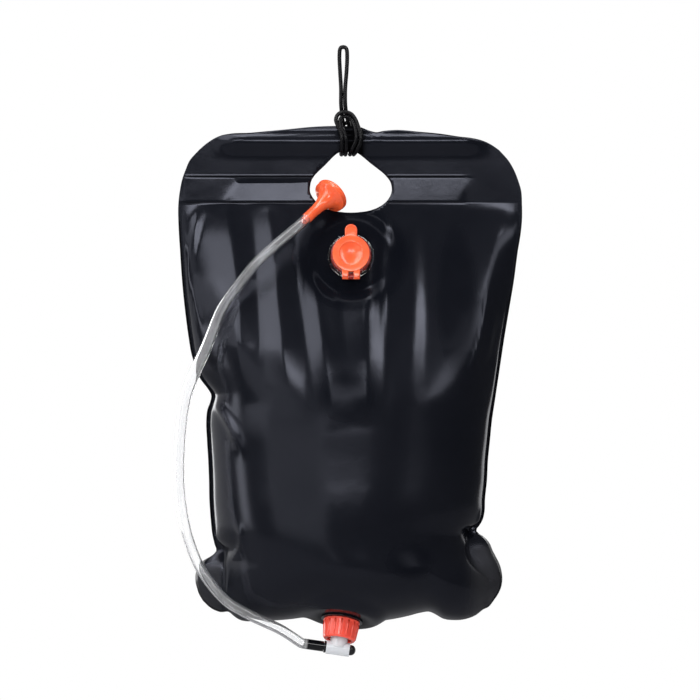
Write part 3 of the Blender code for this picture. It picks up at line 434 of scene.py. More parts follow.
def speckled(tree, shader, scale, detail, first, second):
    toned(tree, shader, mapped(tree, noise(tree, scale, detail), 0.0, 1.0), first, second)


def scuffed(tree, shader, scale, low, high):
    tree.links.new(mapped(tree, noise(tree, scale, 4.0), low, high), shader.inputs["Roughness"])


filmLook = {
    "color": (0.0036, 0.0042, 0.0066),
    "wornColor": (0.0056, 0.0062, 0.0090),
    # The dark colour of the seams, also painted as shade on the film under the cord hitch
    "seamAndShadeColor": (0.0016, 0.0016, 0.0020),
    # A lighter grey painted on the lower ears, standing in for the soft light they catch
    "paintedEarLight": (0.0170, 0.0170, 0.0190),
    "roughness": (0.15, 0.21),
    "specular": 0.34,
    "quietSpecular": 0.02,
    "sheen": (0.80, 0.83, 1.0),
    "weldRoughness": -0.02,
    "dullRoughness": 0.30,
    "grains": [
        ((2600.0, 2.0), 0.25, 0.00003),
        ((340.0, 3.0), 0.22, 0.00008),
        ((46.0, 2.0), 0.30, 0.0004),
    ],
}


def filmMaterial():
    # The weld, seam, dull and quiet attributes come from the film's own mesh; the seam colour also paints
    # shade on the film bunched under the cord hitch, and the dull ears are also painted lighter, as if lit
    tint = {"Specular Tint": (*filmLook["sheen"], 1.0)}
    material, tree, shader = newMaterial("blackFilm", filmLook["color"], 0.25, tint)
    weld, seamAndShade, dullAndLit, quiet = [attributeOf(tree, name) for name in ("weld", "seamAndShade", "dullAndLit", "quiet")]
    patches = mapped(tree, noise(tree, 9.0, 4.0), 0.0, 1.0)
    plain = mixedColor(tree, patches, filmLook["color"], filmLook["wornColor"])
    # The lower ears are rougher, and painted a lighter grey that stands in for light
    earsPaintedLit = mixedColor(tree, dullAndLit, plain, filmLook["paintedEarLight"])
    toned(tree, shader, seamAndShade, earsPaintedLit, filmLook["seamAndShadeColor"])
    level = mapped(tree, quiet, filmLook["specular"], filmLook["quietSpecular"], 0.0, 1.0)
    tree.links.new(level, shader.inputs["Specular IOR Level"])
    gloss = mapped(tree, noise(tree, 14.0, 5.0), *filmLook["roughness"])
    softened = worked(tree, "MULTIPLY_ADD", weld, filmLook["weldRoughness"], gloss)
    rough = worked(tree, "MULTIPLY_ADD", dullAndLit, filmLook["dullRoughness"], softened)
    tree.links.new(rough, shader.inputs["Roughness"])
    layers = [(noise(tree, *grain), strength, deep) for grain, strength, deep in filmLook["grains"]]
    bumps(tree, shader, layers)
    return material


def mouldedMaterial(name, color, deepColor, roughness, clearness=0.0):
    glow = {
        "Transmission Weight": clearness,
        "Coat Weight": 0.25,
        "Coat Roughness": 0.12,
        "Subsurface Weight": 0.12,
        "Subsurface Radius": (1.0, 0.25, 0.12),
        "Subsurface Scale": 0.0015,
    }
    material, tree, shader = newMaterial(name, color, roughness, glow)
    speckled(tree, shader, 55.0, 3.0, deepColor, color)
    scuffed(tree, shader, 120.0, roughness - 0.06, roughness + 0.10)
    bumps(tree, shader, [(noise(tree, 2200.0, 2.0), 0.15, 0.00003), (noise(tree, 160.0), 0.2, 0.00012)])
    return material


def clearMaterial(name, color, roughness, index, clearness=1.0, unevenness=0.12):
    clear = {"Transmission Weight": clearness, "IOR": index}
    material, tree, shader = newMaterial(name, color, roughness, clear)
    scuffed(tree, shader, 90.0, roughness * 0.6, roughness * 1.8)
    bumps(tree, shader, [(noise(tree, 110.0, 2.0), unevenness, 0.00010)])
    return material


def hoseMaterial(color, clearness, barbColor):
    # Clear, but black where the hose's attribute says that the barb shows through
    material = clearMaterial("clearHose", color, 0.025, 1.48, clearness, 0.05)
    tree = material.node_tree
    shader = tree.nodes["Principled BSDF"]
    over = attributeOf(tree, "overBarb")
    toned(tree, shader, over, color, barbColor)
    tree.links.new(mapped(tree, over, clearness, 0.0), shader.inputs["Transmission Weight"])
    return material


def darkMaterial(name, color, roughness, grainScale=900.0):
    material, tree, shader = newMaterial(name, color, roughness)
    speckled(tree, shader, 70.0, 4.0, color, tuple(value * 1.9 for value in color))
    scuffed(tree, shader, 150.0, roughness * 0.75, roughness * 1.3)
    bumps(tree, shader, [(noise(tree, grainScale, 2.0), 0.25, 0.00005)])
    return material


def cordMaterial():
    # A smooth woven sheath: two families of fine strands cross round the cord
    gloss = {"Specular IOR Level": 0.16, "Coat Weight": 0.04, "Coat Roughness": 0.12}
    material, tree, shader = newMaterial("cordSheath", (0.0008, 0.0008, 0.0010), 0.14, gloss)
    strandsPerMetre, strandsAround = 2600.0, 8
    flat = addNode(tree, "ShaderNodeUVMap", uv_map="alongTube").outputs["UV"]
    along, turn = addNode(tree, "ShaderNodeSeparateXYZ", {0: flat}).outputs[:2]
    heights = []
    for lean in (1.0, -1.0):
        around = worked(tree, "MULTIPLY", turn, math.tau * strandsAround * lean)
        phase = worked(tree, "MULTIPLY_ADD", along, strandsPerMetre, around)
        heights.append(worked(tree, "SINE", phase))
    speckled(tree, shader, 400.0, 3.0, (0.002, 0.002, 0.0025), (0.005, 0.005, 0.006))
    bumps(tree, shader, [(worked(tree, "MAXIMUM", *heights), 0.35, 0.00008)])
    return material


def steelMaterial():
    # Drawn wire: fine lines along the pin, which lies across the bag
    material, tree, shader = newMaterial("pinSteel", (0.62, 0.62, 0.63), 0.28, {"Metallic": 1.0})
    drawn = addNode(
        tree, "ShaderNodeVectorMath", {0: place(tree), 1: (60.0, 5200.0, 5200.0)}, operation="MULTIPLY"
    )
    lines = noise(tree, 1.0, 3.0, drawn.outputs[0])
    toned(tree, shader, mapped(tree, lines, 0.0, 1.0), (0.52, 0.52, 0.53), (0.68, 0.68, 0.69))
    tree.links.new(mapped(tree, lines, 0.20, 0.38), shader.inputs["Roughness"])
    bumps(tree, shader, [(lines, 0.3, 0.00003)])
    return material


blackFilm = filmMaterial()
orangePlastic = mouldedMaterial("orangePlastic", (0.95, 0.138, 0.044), (0.88, 0.100, 0.032), 0.19)
# The collar's plastic: translucent, and a darker copy of the orange plastic, painted shade for the collar
# under the lid
shadedOrange = mouldedMaterial("shadedOrangePlastic", (0.42, 0.022, 0.012), (0.30, 0.014, 0.010), 0.25, 0.35)
redPlastic = mouldedMaterial("redPlastic", (0.96, 0.100, 0.062), (0.88, 0.075, 0.046), 0.17)
clearPlastic = clearMaterial("clearPlastic", (0.97, 0.98, 0.99), 0.05, 1.46)
milkyPlastic = clearMaterial("milkyPlastic", (0.90, 0.92, 0.96), 0.12, 1.46, 0.35)
clearHose = hoseMaterial((0.985, 0.988, 0.995), 0.96, (0.002, 0.002, 0.003))
weldedFilm = darkMaterial("weldedFilm", (0.0036, 0.0042, 0.0060), 0.18)
blackPlastic = darkMaterial("blackPlastic", (0.006, 0.006, 0.007), 0.16)
sealRubber = darkMaterial("sealRubber", (0.012, 0.012, 0.013), 0.6, 1500.0)
cordSheath = cordMaterial()
rodPlastic = darkMaterial("rodPlastic", (0.30, 0.30, 0.31), 0.45)
pinSteel = steelMaterial()
print("materials made:", len(bpy.data.materials))


# The hanging cord: one closed loop, hitched round the hem through the handle hole
hangCord = {
    "radius": 0.00240,
    "step": 0.0012,
    "route": [
        (-0.0016, -0.0016, -0.1218), (-0.0022, 0.0046, -0.1212), (-0.0034, 0.0100, -0.1140),
        (-0.0040, 0.0150, -0.1040), (-0.0034, 0.0140, -0.0950), (-0.0010, 0.0108, -0.0885),
        (0.0036, 0.0092, -0.0855), (0.0088, 0.0098, -0.0870), (0.0128, 0.0130, -0.0930),
        (0.0136, 0.0155, -0.1030), (0.0108, 0.0150, -0.1130), (0.0086, 0.0080, -0.1206),
        (0.0082, -0.0016, -0.1218), (0.0112, -0.0086, -0.1150), (0.0152, -0.0112, -0.1060),
        (0.0150, -0.0104, -0.0960), (0.0126, -0.0080, -0.0872), (0.0090, -0.0060, -0.0812),
        (0.0040, -0.0052, -0.0782), (-0.0012, -0.0056, -0.0794), (-0.0034, -0.0074, -0.0842),
        (-0.0014, -0.0096, -0.0922), (0.0022, -0.0108, -0.0990), (0.0040, -0.0112, -0.1060),
        (0.0038, -0.0086, -0.1160), (0.0030, -0.0016, -0.1218), (0.0024, 0.0046, -0.1212),
        (0.0016, 0.0094, -0.1140), (0.0010, 0.0108, -0.1060), (0.0006, 0.0088, -0.0950),
        (-0.0002, 0.0040, -0.0845), (-0.0016, 0.0010, -0.0735), (-0.0024, 0.0000, -0.0620),
        (-0.0024, 0.0000, -0.0450), (-0.0034, 0.0000, -0.0270), (-0.0042, 0.0000, -0.0100),
        (-0.0034, 0.0000, 0.0000), (0.0002, 0.0000, 0.0022), (0.0040, 0.0000, 0.0000),
        (0.0048, 0.0000, -0.0100), (0.0040, 0.0000, -0.0270), (0.0026, 0.0000, -0.0450),
        (0.0025, 0.0000, -0.0620), (0.0036, 0.0010, -0.0735), (0.0060, 0.0040, -0.0845),
        (0.0088, 0.0088, -0.0950), (0.0100, 0.0108, -0.1060), (0.0112, 0.0094, -0.1155),
        (0.0122, 0.0042, -0.1212), (0.0128, -0.0016, -0.1218), (0.0168, -0.0086, -0.1165),
        (0.0208, -0.0112, -0.1060), (0.0194, -0.0104, -0.0960), (0.0168, -0.0084, -0.0880),
        (0.0136, -0.0074, -0.0806), (0.0088, -0.0070, -0.0752), (0.0010, -0.0068, -0.0732),
        (-0.0058, -0.0068, -0.0762), (-0.0082, -0.0070, -0.0822), (-0.0062, -0.0084, -0.0885),
        (-0.0024, -0.0102, -0.0965), (-0.0010, -0.0112, -0.1060), (-0.0014, -0.0084, -0.1165),
    ],
}


def makeHangCord():
    line = evenLine(smoothLine(hangCord["route"], closed=True), hangCord["step"])
    cord = tube("hangingCord", line, hangCord["radius"], cordSheath)
    attach(cord, "bag", "cord_black", "hang_cord")


makeHangCord()


# The hose from the slide valve to the shower head, in the CAD's own frames
outlet = {
    "neckRadius": 0.0155,
    "neckBore": 0.0120,
    "neckTop": 0.0110,
    "neckEnd": -0.0030,
    "flangeRadius": 0.0240,
    "flangeTop": 0.0018,
    "flangeBase": 0.0003,
    "capTop": 0.0153,
    "capBase": 0.0131,
    "stemRadius": 0.0100,
    "barrelDrop": 0.0350,
    "barrelLength": 0.0270,
    "barrelRadius": 0.0078,
    "barrelBore": 0.0063,
    "boreMargin": 0.002,
    "stemBore": 0.0050,
    "stemBoreEnd": 0.0111,
    "spoolBore": 0.0024,
    "spoolBoreLength": 0.0280,
    "domeShare": 0.9,
    "grooves": (0.0075, -0.0105),
    "grooveDepth": 0.0014,
    "grooveHalf": 0.0008,
    "ridgeShares": (0.18, 0.40, 0.62, 0.84),
    "ridgeDrop": 0.0008,
    "spoolRadius": 0.0060,
    "spoolTravel": 0.0070,
    "discRadius": 0.0069,
    "discThickness": 0.0025,
    "barbRadius": 0.0044,
    "barbLength": 0.0195,
    "clearance": 0.0003,
}
head = {
    "neckEnd": (-0.0423, -0.0430, -0.1976),
    "direction": (0.589, 0.574, 0.569),
    "length": 0.051,
    "neckRadius": 0.0062,
    "rimRadius": 0.0205,
    "wall": 0.0016,
    "rimDepth": 0.006,
    "stubRadius": 0.0044,
    "stubLength": 0.005,
}
hose = {
    "overBarb": 0.0225,
    "barbFade": 0.0012,
    "flats": ((0.32, 0.22, 0.16),),
    "radius": 0.0060,
    "bore": 0.0047,
    "step": 0.0030,
    "meetingShare": 0.50,
    "route": [
        (-0.0730, -0.0440, -0.6705), (-0.1070, -0.0470, -0.6545), (-0.1368, -0.0480, -0.6360),
        (-0.1623, -0.0460, -0.6038), (-0.1773, -0.0420, -0.5691), (-0.1854, -0.0380, -0.5343),
        (-0.1889, -0.0360, -0.4995), (-0.1878, -0.0350, -0.4532), (-0.1820, -0.0360, -0.4068),
        (-0.1715, -0.0380, -0.3767), (-0.1565, -0.0420, -0.3431), (-0.1402, -0.0470, -0.3025),
        (-0.1190, -0.0540, -0.2722), (-0.0930, -0.0600, -0.2420),
    ],
}


def frameFrom(origin, axis, across):
    # A place with local Z along the axis and local X along across
    up = Vector(axis).normalized()
    side = (Vector(across) - up * Vector(across).dot(up)).normalized()
    turned = Matrix((side, up.cross(side), up)).transposed().to_4x4()
    return Matrix.Translation(origin) @ turned


outletFrame = frameFrom(
    joints["nut_turn"]["pos_m"], joints["nut_turn"]["axis"], -Vector(joints["spool_slide"]["axis"])
)
barrelFrame = outletFrame @ Matrix.Translation((0.0, 0.0, outlet["barrelDrop"]))
fillFrame = frameFrom(joints["collar_turn"]["pos_m"], joints["collar_turn"]["axis"], (1.0, 0.0, 0.0))
headAxis = Vector(head["direction"]).normalized()
headFrame = Matrix.Translation(head["neckEnd"]) @ headAxis.to_track_quat("Z", "Y").to_matrix().to_4x4()


def hoseLine():
    clear = outlet["clearance"]
    along = barrelFrame.to_3x3() @ Vector((1.0, 0.0, 0.0))
    start = barrelFrame.translation - along * (
        outlet["barrelLength"] / 2 + outlet["discThickness"] + clear * 2
    )
    barbEnd = start - along * (outlet["barbLength"] + hose["radius"])
    end = Vector(head["neckEnd"]) - headAxis * clear
    stubEnd = end - headAxis * (head["stubLength"] + hose["radius"])
    middle = smoothLine([barbEnd, *hose["route"], stubEnd])
    return evenLine(np.concatenate([[start], middle, [end]]), hose["step"])


def showBarb(piece, start):
    # Where the hose is stretched over the black barb, the barb is all that shows through it
    places = np.array([vertex.co for vertex in piece.data.vertices])
    fromEnd = np.linalg.norm(places - np.array(start), axis=1)
    addAttribute(piece, "overBarb", falling(fromEnd, hose["overBarb"], hose["barbFade"]))


def makeHose():
    line = hoseLine()
    meeting = round(len(line) * hose["meetingShare"])
    lower, upper = line[: meeting + 1], line[meeting:]
    # Each part with its moving body, its still end, where the blend ends, its exit and its flats
    parts = (
        ("hoseLower", lower, "slide", lower[-1], lower[9], lower[0], ()),
        ("hoseUpper", upper, "head", upper[0], upper[-7], upper[-1], hose["flats"]),
    )
    for name, part, body, still, moving, start, flats in parts:
        piece = tube(name, part, hose["radius"], clearHose, 28, hose["bore"], flats)
        showBarb(piece, line[0])
        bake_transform(piece)
        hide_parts("hose")
    print("hose length in mm:", round(float(distances(line)[-1]) * 1000))


makeHose()
print("cords made")


# The bag's outline and depth as the photograph shows them, in its pixels: (row, column) for
# the side edges, (column, row) for the top and bottom edges
outline = {
    "topRow": 150.0,
    "bottomRow": 600.0,
    "leftEdge": [
        (150, 199), (160, 190), (170, 185.5), (180, 182), (190, 180), (205, 178.3), (225, 178.5),
        (250, 180), (280, 182), (310, 185), (340, 189), (352, 191), (364, 194.5), (375, 198),
        (382, 202.5), (389, 208), (395, 211.3), (401, 210.5), (410, 207.3), (420, 206.3),
        (440, 207), (460, 208.2), (480, 209), (500, 209.4), (520, 210.8), (535, 212.5),
        (545, 215), (550, 216.5), (554, 213), (559, 205.5), (565, 200), (572, 196.5),
        (580, 195.8), (588, 197.5), (594, 199.5), (600, 203),
    ],
    "rightEdge": [
        (150, 499), (160, 508), (170, 514), (180, 518), (190, 521), (205, 522), (220, 522),
        (235, 520.5), (250, 518), (280, 514), (310, 509), (340, 504), (360, 501), (380, 498),
        (400, 495), (420, 492), (440, 490), (460, 488), (480, 487), (500, 485), (512, 484.5),
        (520, 482.5), (526, 479), (530, 476), (533, 477.5), (537, 483.5), (543, 489),
        (550, 492), (557, 495.5), (564, 499), (572, 501.2), (580, 501.8), (588, 500.3),
        (594, 497.5), (600, 493.5),
    ],
    "topEdge": [
        (199, 150), (204, 145.5), (210, 141), (220, 136), (230, 134), (250, 133), (270, 131),
        (290, 129), (310, 127), (330, 126), (345, 126), (360, 127), (369, 130.5), (376, 132.5),
        (384, 131), (395, 130), (420, 132), (440, 134), (460, 137), (472, 138.3), (482, 140.5),
        (491, 144.5), (499, 150),
    ],
    "bottomEdge": [
        (203, 600), (209, 606), (220, 611.5), (230, 612), (234, 615.5), (240, 619.3), (247, 620.8),
        (258, 619.6), (272, 620), (291, 618.6), (312, 616), (330, 617), (346, 620), (360, 622),
        (372, 621), (390, 619), (408, 615.4), (420, 612.3), (430, 611.3), (436, 614), (442, 617.6),
        (454, 619.6), (466, 618.4), (476, 614.4), (483, 609), (489, 605.8), (493.5, 600),
    ],
    "topHold": (173.0, 23.0),
    "bottomHold": (540.0, 60.0),
    "seamLeft": 3.8,
    "seamRight": 3.0,
}
depth = {
    "front": [
        (203, 0.0), (206, 0.9), (209, 1.9), (216, 4.6), (224, 8.2), (232, 12.0), (243, 17.2),
        (256, 23.0), (271, 29.8), (286, 36.6), (304, 44.4), (322, 52.0), (340, 58.8), (358, 64.8),
        (376, 70.0), (386, 72.6), (396, 74.8), (410, 77.0), (430, 79.2), (455, 81.4), (470, 82.9),
        (482, 84.2), (494, 85.6), (506, 86.8), (518, 87.6), (530, 88.0), (545, 88.2), (560, 88.0),
        (585, 85.8), (625, 84.5),
    ],
    "lensPower": 0.6,
    "pinchPower": 24,
    "closing": 50.0,
    "ear": 21.0,
    "earTops": (552.0, 531.0),
    "earFade": 24.0,
    "earRise": (4.0, 22.0),
    "waists": (226.0, 466.0),
    "waistInset": 14.0,
    "waistSpan": 26.0,
    "waistSoftening": (530.0, 16.0),
    "holds": ((538.0, 14.0), (521.0, 12.0)),
    "rightRelease": (547.0, 44.0),
}
film = {
    "thickness": 0.0006,
    "cut": (0.44, 0.62),
    "gap": 0.0003,
    "rowSpans": ((173.0, 17), (206.0, 45), (556.0, 128)),
    "closingRows": 46,
    "bodyColumns": 122,
    "edgeColumns": 8,
    "rodRadius": 0.005,
    "rodClearance": 0.0006,
    "hemReach": 0.0112,
    "hemFall": 0.0210,
    "hemOverhang": 0.012,
    "hemRunout": 0.030,
    "pinchEase": 15,
    "earEase": 12,
    "edgeEase": 9.0,
    "crestSoftness": 0.14,
    "headerReach": 0.03,
    "portReach": 0.01,
    "snap": 0.006,
    "seamFade": (2.6, 1.4),
    "seamStart": (205.0, 30.0),
    "seamQuiet": 0.8,
    "quietFade": 0.016,
    # The film bunched under the cord hitch, painted in shade: its column, half width, lowest row and fade, in
    # pixels
    "hitchShade": (352.0, 14.0, 158.0, 3.0),
}
# Each fitting has a flat seat in the film, a hole, and dull film round it; metres
seats = {
    "fill": {"radius": 0.038, "reach": 0.060, "hole": 0.0173, "quiet": 0.074},
    "outlet": {"radius": 0.037, "reach": 0.054, "hole": 0.0158, "quiet": 0.042},
}
handleHole = {
    "halfWidth": 0.0475,
    "rise": 0.0429,
    "fall": 0.0278,
    "shift": 0.0093,
    "drop": 0.1623,
    "outlineShares": [
        (-0.32, 0.98), (-0.09, 1.0), (0.15, 0.98), (0.48, 0.69), (0.83, 0.38), (0.98, 0.12),
        (0.96, -0.28), (0.74, -0.70), (0.40, -0.93), (0.0, -1.0), (-0.40, -0.93),
        (-0.74, -0.70), (-0.96, -0.28), (-1.0, 0.04), (-0.92, 0.32), (-0.62, 0.66),
    ],
}

# Pleats fall from the header. Each has the (row, column) line of its crest, how far it rises and
# falls to the left and right and how round its crest is, in pixels, and its (row, millimetres) height
frontPleats = [
    (
        [(207, 226), (217, 229), (233, 232.3), (265, 235.6), (304, 239.6), (351, 241.5), (400, 245)],
        30, 19, 1.3,
        [(204, 0), (213, 2.2), (240, 3.2), (300, 4.6), (345, 5.0), (375, 2.2), (402, 0)],
    ),
    (
        [
            (207, 269), (217, 271), (237, 273.8), (270, 277), (304, 279), (337, 282.5), (364, 284),
            (400, 287),
        ],
        21, 19, 1.3,
        [(204, 0), (213, 2.8), (240, 3.5), (300, 3.6), (350, 4.0), (385, 2.4), (416, 0)],
    ),
    (
        [(210, 309), (241, 312), (284, 316), (310, 320), (337, 324), (364, 328), (400, 333)],
        18, 17, 1.3,
        [(212, 0), (232, 3.2), (300, 3.2), (345, 3.5), (380, 2.0), (430, 0)],
    ),
    (
        [(270, 371), (304, 368.5), (324, 367), (373, 365.5), (400, 365)],
        26, 18, 1.6,
        [(262, 0), (290, 2.2), (320, 4.2), (360, 4.4), (395, 2.6), (425, 0)],
    ),
    (
        [(215, 412), (250, 412.5), (300, 413), (350, 412), (400, 410)],
        22, 11, 2.4,
        [(212, 0), (245, 1.2), (300, 1.65), (350, 1.4), (385, 0.6), (410, 0)],
    ),
    (
        [
            (215, 500), (250, 494), (278, 489), (304, 484), (335, 478), (353, 473.5), (377, 467),
            (400, 462),
        ],
        44, 15, 3.0,
        [(210, 0), (235, 2.6), (300, 5.4), (350, 5.6), (385, 3.0), (420, 0)],
    ),
]
backPleats = [
    (
        [(207, 232), (250, 236), (304, 240), (351, 243), (400, 247)],
        28, 20, 1.6,
        [(204, 0), (214, 2.4), (240, 3.2), (300, 4.4), (350, 5.0), (385, 3.8), (418, 0)],
    ),
    (
        [(207, 272), (250, 275), (304, 279), (351, 283), (400, 287)],
        22, 20, 1.6,
        [(204, 0), (214, 2.8), (240, 3.5), (300, 3.6), (350, 3.6), (405, 3.0), (450, 0)],
    ),
    (
        [(207, 314), (250, 315), (304, 318), (351, 322), (400, 326)],
        20, 22, 1.6,
        [(204, 0), (214, 2.6), (240, 3.2), (300, 3.2), (350, 3.2), (385, 2.2), (418, 0)],
    ),
    (
        [(207, 384), (250, 382), (304, 379), (351, 376), (400, 373)],
        22, 20, 1.6,
        [(204, 0), (214, 2.2), (240, 2.8), (300, 3.0), (350, 3.0), (385, 2.2), (418, 0)],
    ),
    (
        [(207, 426), (250, 423), (304, 419), (351, 414), (400, 409)],
        22, 24, 1.6,
        [(204, 0), (214, 2.0), (240, 2.6), (300, 2.8), (350, 2.6), (385, 1.8), (418, 0)],
    ),
    (
        [(207, 470), (250, 466), (304, 460), (351, 453), (400, 446)],
        22, 24, 2.0,
        [(204, 0), (220, 1.0), (300, 2.0), (350, 1.8), (385, 1.2), (418, 0)],
    ),
]

# Smaller folds: the (column, row) line that each follows, its half width in pixels, its height in
# millimetres and, where it isn't the usual one, the share of its length that fades at each end
foldFade = (0.25, 0.45)
frontFolds = [
    ([(201.5, 204), (196, 225), (192.8, 244), (190, 270), (190, 288)], 3.6, 1.9),
    ([(193.4, 285), (196, 301), (199, 316), (202.5, 333)], 1.5, 1.0),
    ([(299, 232), (300, 262), (301.5, 290), (305, 318)], 1.8, 0.5),
    (
        [(387, 203), (389, 230), (386.4, 254), (384.2, 281), (383.4, 310), (381.5, 345)],
        1.6, 0.62, (0.05, 0.35),
    ),
    ([(373, 236), (371.5, 262), (369.6, 290), (367.6, 315), (366.4, 345)], 1.6, 0.7, (0.15, 0.4)),
    ([(490, 278), (484.7, 304), (479.4, 334.7), (474, 353.5), (467.5, 377)], 1.7, 1.3, (0.35, 0.15)),
    ([(496, 308), (490, 330), (486.5, 348), (484, 368)], 3.6, 1.1),
    ([(499.5, 348), (496, 362), (494, 377.6), (491.4, 399), (489, 416)], 2.3, 1.3),
    ([(212, 396), (219, 405), (229, 421), (239, 442), (245, 462)], 4.5, 3.4),
    ([(237, 520), (243, 540), (239, 552), (228, 561), (219, 568)], 3.2, 2.0),
    ([(482, 516), (478, 525), (473, 534)], 3.0, 0.4),
    ([(318, 564), (356, 565), (394, 564)], 14.0, 1.4, (0.45, 0.45)),
    ([(373.5, 132), (375, 139), (378, 146)], 1.3, 0.9),
    ([(381, 131), (380, 138), (378, 145)], 1.2, 0.8),
    ([(236, 136), (241, 139), (247, 142)], 1.4, 0.8),
]
# Thin lines along two folds beside the fill valve keep their gloss where the film round it is dull
glints = [
    ([(387.5, 203), (389, 230), (386.4, 254), (384.2, 281), (383.4, 310)], 2.4, 1.0),
    ([(373, 236), (371.5, 262), (369.6, 290), (367.6, 315)], 2.2, 1.0),
]
# The lower ears, rougher and painted a lighter grey as if lit, end at these columns and start at these rows,
# each with its fade, in pixels
dullLitEars = {
    "left": (224.0, 5.0), "leftTop": (562.0, 6.0),
    "right": (461.0, 22.0), "rightTop": (541.0, 10.0),
}
# Duller patches of the film in pixels: column, row, half width, half height, share
quietPatches = [
    (346.0, 396.0, 34.0, 34.0, 0.85),
    (456.0, 300.0, 25.0, 95.0, 0.80),
    (409.0, 559.0, 30.0, 22.0, 0.80),
]
backFolds = [
    ([(204, 207), (198, 250), (193, 300), (191, 345)], 4, 1.8),
    ([(497, 215), (494, 270), (489, 320), (484, 370)], 3, 1.6),
    ([(212, 396), (222, 408), (232, 424), (240, 446)], 4.5, 3.0),
    ([(494, 400), (480, 412), (470, 430)], 4.5, 2.6),
    ([(478, 531), (472, 537), (468, 545), (463, 551)], 3.0, -4.0),
    ([(237, 530), (242, 545), (232, 558), (221, 567)], 3.6, 2.8),
]

# The welded band across the header leans, its lower edge forward, by (column, millimetres)
band = {
    "rows": (176.5, 202.5),
    "columns": (183.0, 467.0),
    "edge": 1.1,
    "lean": [
        (180, 0.0), (186, 0.3), (222, 0.4), (228, 0.6), (236, 1.85), (290, 1.75), (310, 1.5),
        (392, 0.75), (440, 0.70), (463, 0.65), (466, 0.1), (470, 0.0),
    ],
    "slant": 0.35,
    "groove": 0.35,
    "rise": 0.4,
}


def rowLevels():
    parts, start = [], outline["topRow"]
    for end, count in film["rowSpans"]:
        parts.append(np.linspace(start, end, count)[:-1])
        start = end
    turn = np.linspace(0.0, math.pi / 2, film["closingRows"])
    return np.concatenate([*parts, start + (outline["bottomRow"] - start) * np.sin(turn)])


def bottomRowAt(column):
    edge = outline["bottomEdge"]
    return smoothCurve(edge, np.clip(column, edge[0][0], edge[-1][0]))


def bodyEdges(rows):
    # The outline's side edges and, between them, the body's
    left = smoothCurve(outline["leftEdge"], rows)
    right = smoothCurve(outline["rightEdge"], rows)
    leftHold, rightHold = [rising(rows, *hold) for hold in depth["holds"]]
    rightHold *= 1.0 - rising(rows, *depth["rightRelease"])
    bodyLeft = left + outline["seamLeft"]
    bodyRight = right - outline["seamRight"]
    bodyLeft += (np.maximum(bodyLeft, depth["waists"][0]) - bodyLeft) * leftHold
    bodyRight += (np.minimum(bodyRight, depth["waists"][1]) - bodyRight) * rightHold
    return left, bodyLeft, bodyRight, right


pinchRows = np.arange(150.0, 640.0)


def easedEdges():
    # The body's side edges with their pinches smoothed away
    _, bodyLeft, bodyRight, _ = bodyEdges(pinchRows)
    reach = film["pinchEase"] * 3
    bell = np.exp(-((np.arange(-reach, reach + 1) / film["pinchEase"]) ** 2) / 2)
    bell /= bell.sum()
    padded = [np.pad(edge, reach, mode="edge") for edge in (bodyLeft, bodyRight)]
    return [np.convolve(edge, bell, mode="valid") for edge in padded]


def acrossBody(columns, left, right):
    return np.clip((2 * columns - left - right) / (right - left), -1.0, 1.0)


def bodyShare(columns, levels):
    # How far across the body each point lies, from -1 at its left edge to 1 at its right one;
    # a pinch of the edge dies away towards the middle
    share = acrossBody(columns, *bodyEdges(levels)[1:3])
    eased = acrossBody(columns, *[np.interp(levels, pinchRows, edge) for edge in easedEdges()])
    return share + (eased - share) * (1.0 - share ** depth["pinchPower"])


def earsEased(values, columns, levels):
    # The creases between the body and its ears softened
    wide = film["earEase"]
    bell = np.hanning(2 * wide + 3)[1:-1]
    bell /= bell.sum()
    padded = np.pad(values, ((0, 0), (wide, wide)), mode="edge")
    smooth = sum(bell[step] * padded[:, step : step + values.shape[1]] for step in range(2 * wide + 1))
    near = sum(np.exp(-(((columns - waist) / depth["waistSpan"]) ** 2)) for waist in depth["waists"])
    return values + (smooth - values) * near * rising(levels, *depth["waistSoftening"])


def bodyLens(share):
    return np.clip(1.0 - share**2, 0.0, 1.0) ** depth["lensPower"]


def filmGrid():
    # Columns an even way apart round the bag, rows an even way down it
    rows = rowLevels()
    left, bodyLeft, bodyRight, right = bodyEdges(rows)
    forward = smoothCurve(depth["front"], rows) / 1000.0 / photo["metresPerPixel"]
    fine = np.sin(np.linspace(-math.pi / 2, math.pi / 2, 401))
    columns = np.zeros((len(rows), film["bodyColumns"] + 1 + 2 * film["edgeColumns"]))
    for index in range(len(rows)):
        half = (bodyRight[index] - bodyLeft[index]) / 2
        height = forward[index] * bodyLens(fine)
        steps = np.hypot(np.diff(fine) * half, np.diff(height))
        along = np.concatenate([[0.0], np.cumsum(steps)])
        even = np.interp(np.linspace(0.0, along[-1], film["bodyColumns"] + 1), along, fine)
        middle = (bodyLeft[index] + bodyRight[index]) / 2 + half * even
        edge = np.linspace(0.0, 1.0, film["edgeColumns"] + 1)[:-1]
        leftSide = left[index] + (bodyLeft[index] - left[index]) * edge
        rightSide = right[index] - (right[index] - bodyRight[index]) * edge
        columns[index] = np.concatenate([leftSide, middle, rightSide[::-1]])
    levels = np.repeat(rows[:, None], columns.shape[1], axis=1)
    share = (columns - left[:, None]) / (right - left)[:, None]
    topColumns = outline["topEdge"][0][0] + share * (outline["topEdge"][-1][0] - outline["topEdge"][0][0])
    topHold = falling(levels, *outline["topHold"])
    bottomHold = rising(levels, *outline["bottomHold"])
    levels += (smoothCurve(outline["topEdge"], topColumns) - outline["topRow"]) * topHold
    levels += (bottomRowAt(columns) - outline["bottomRow"]) * bottomHold
    return columns, levels


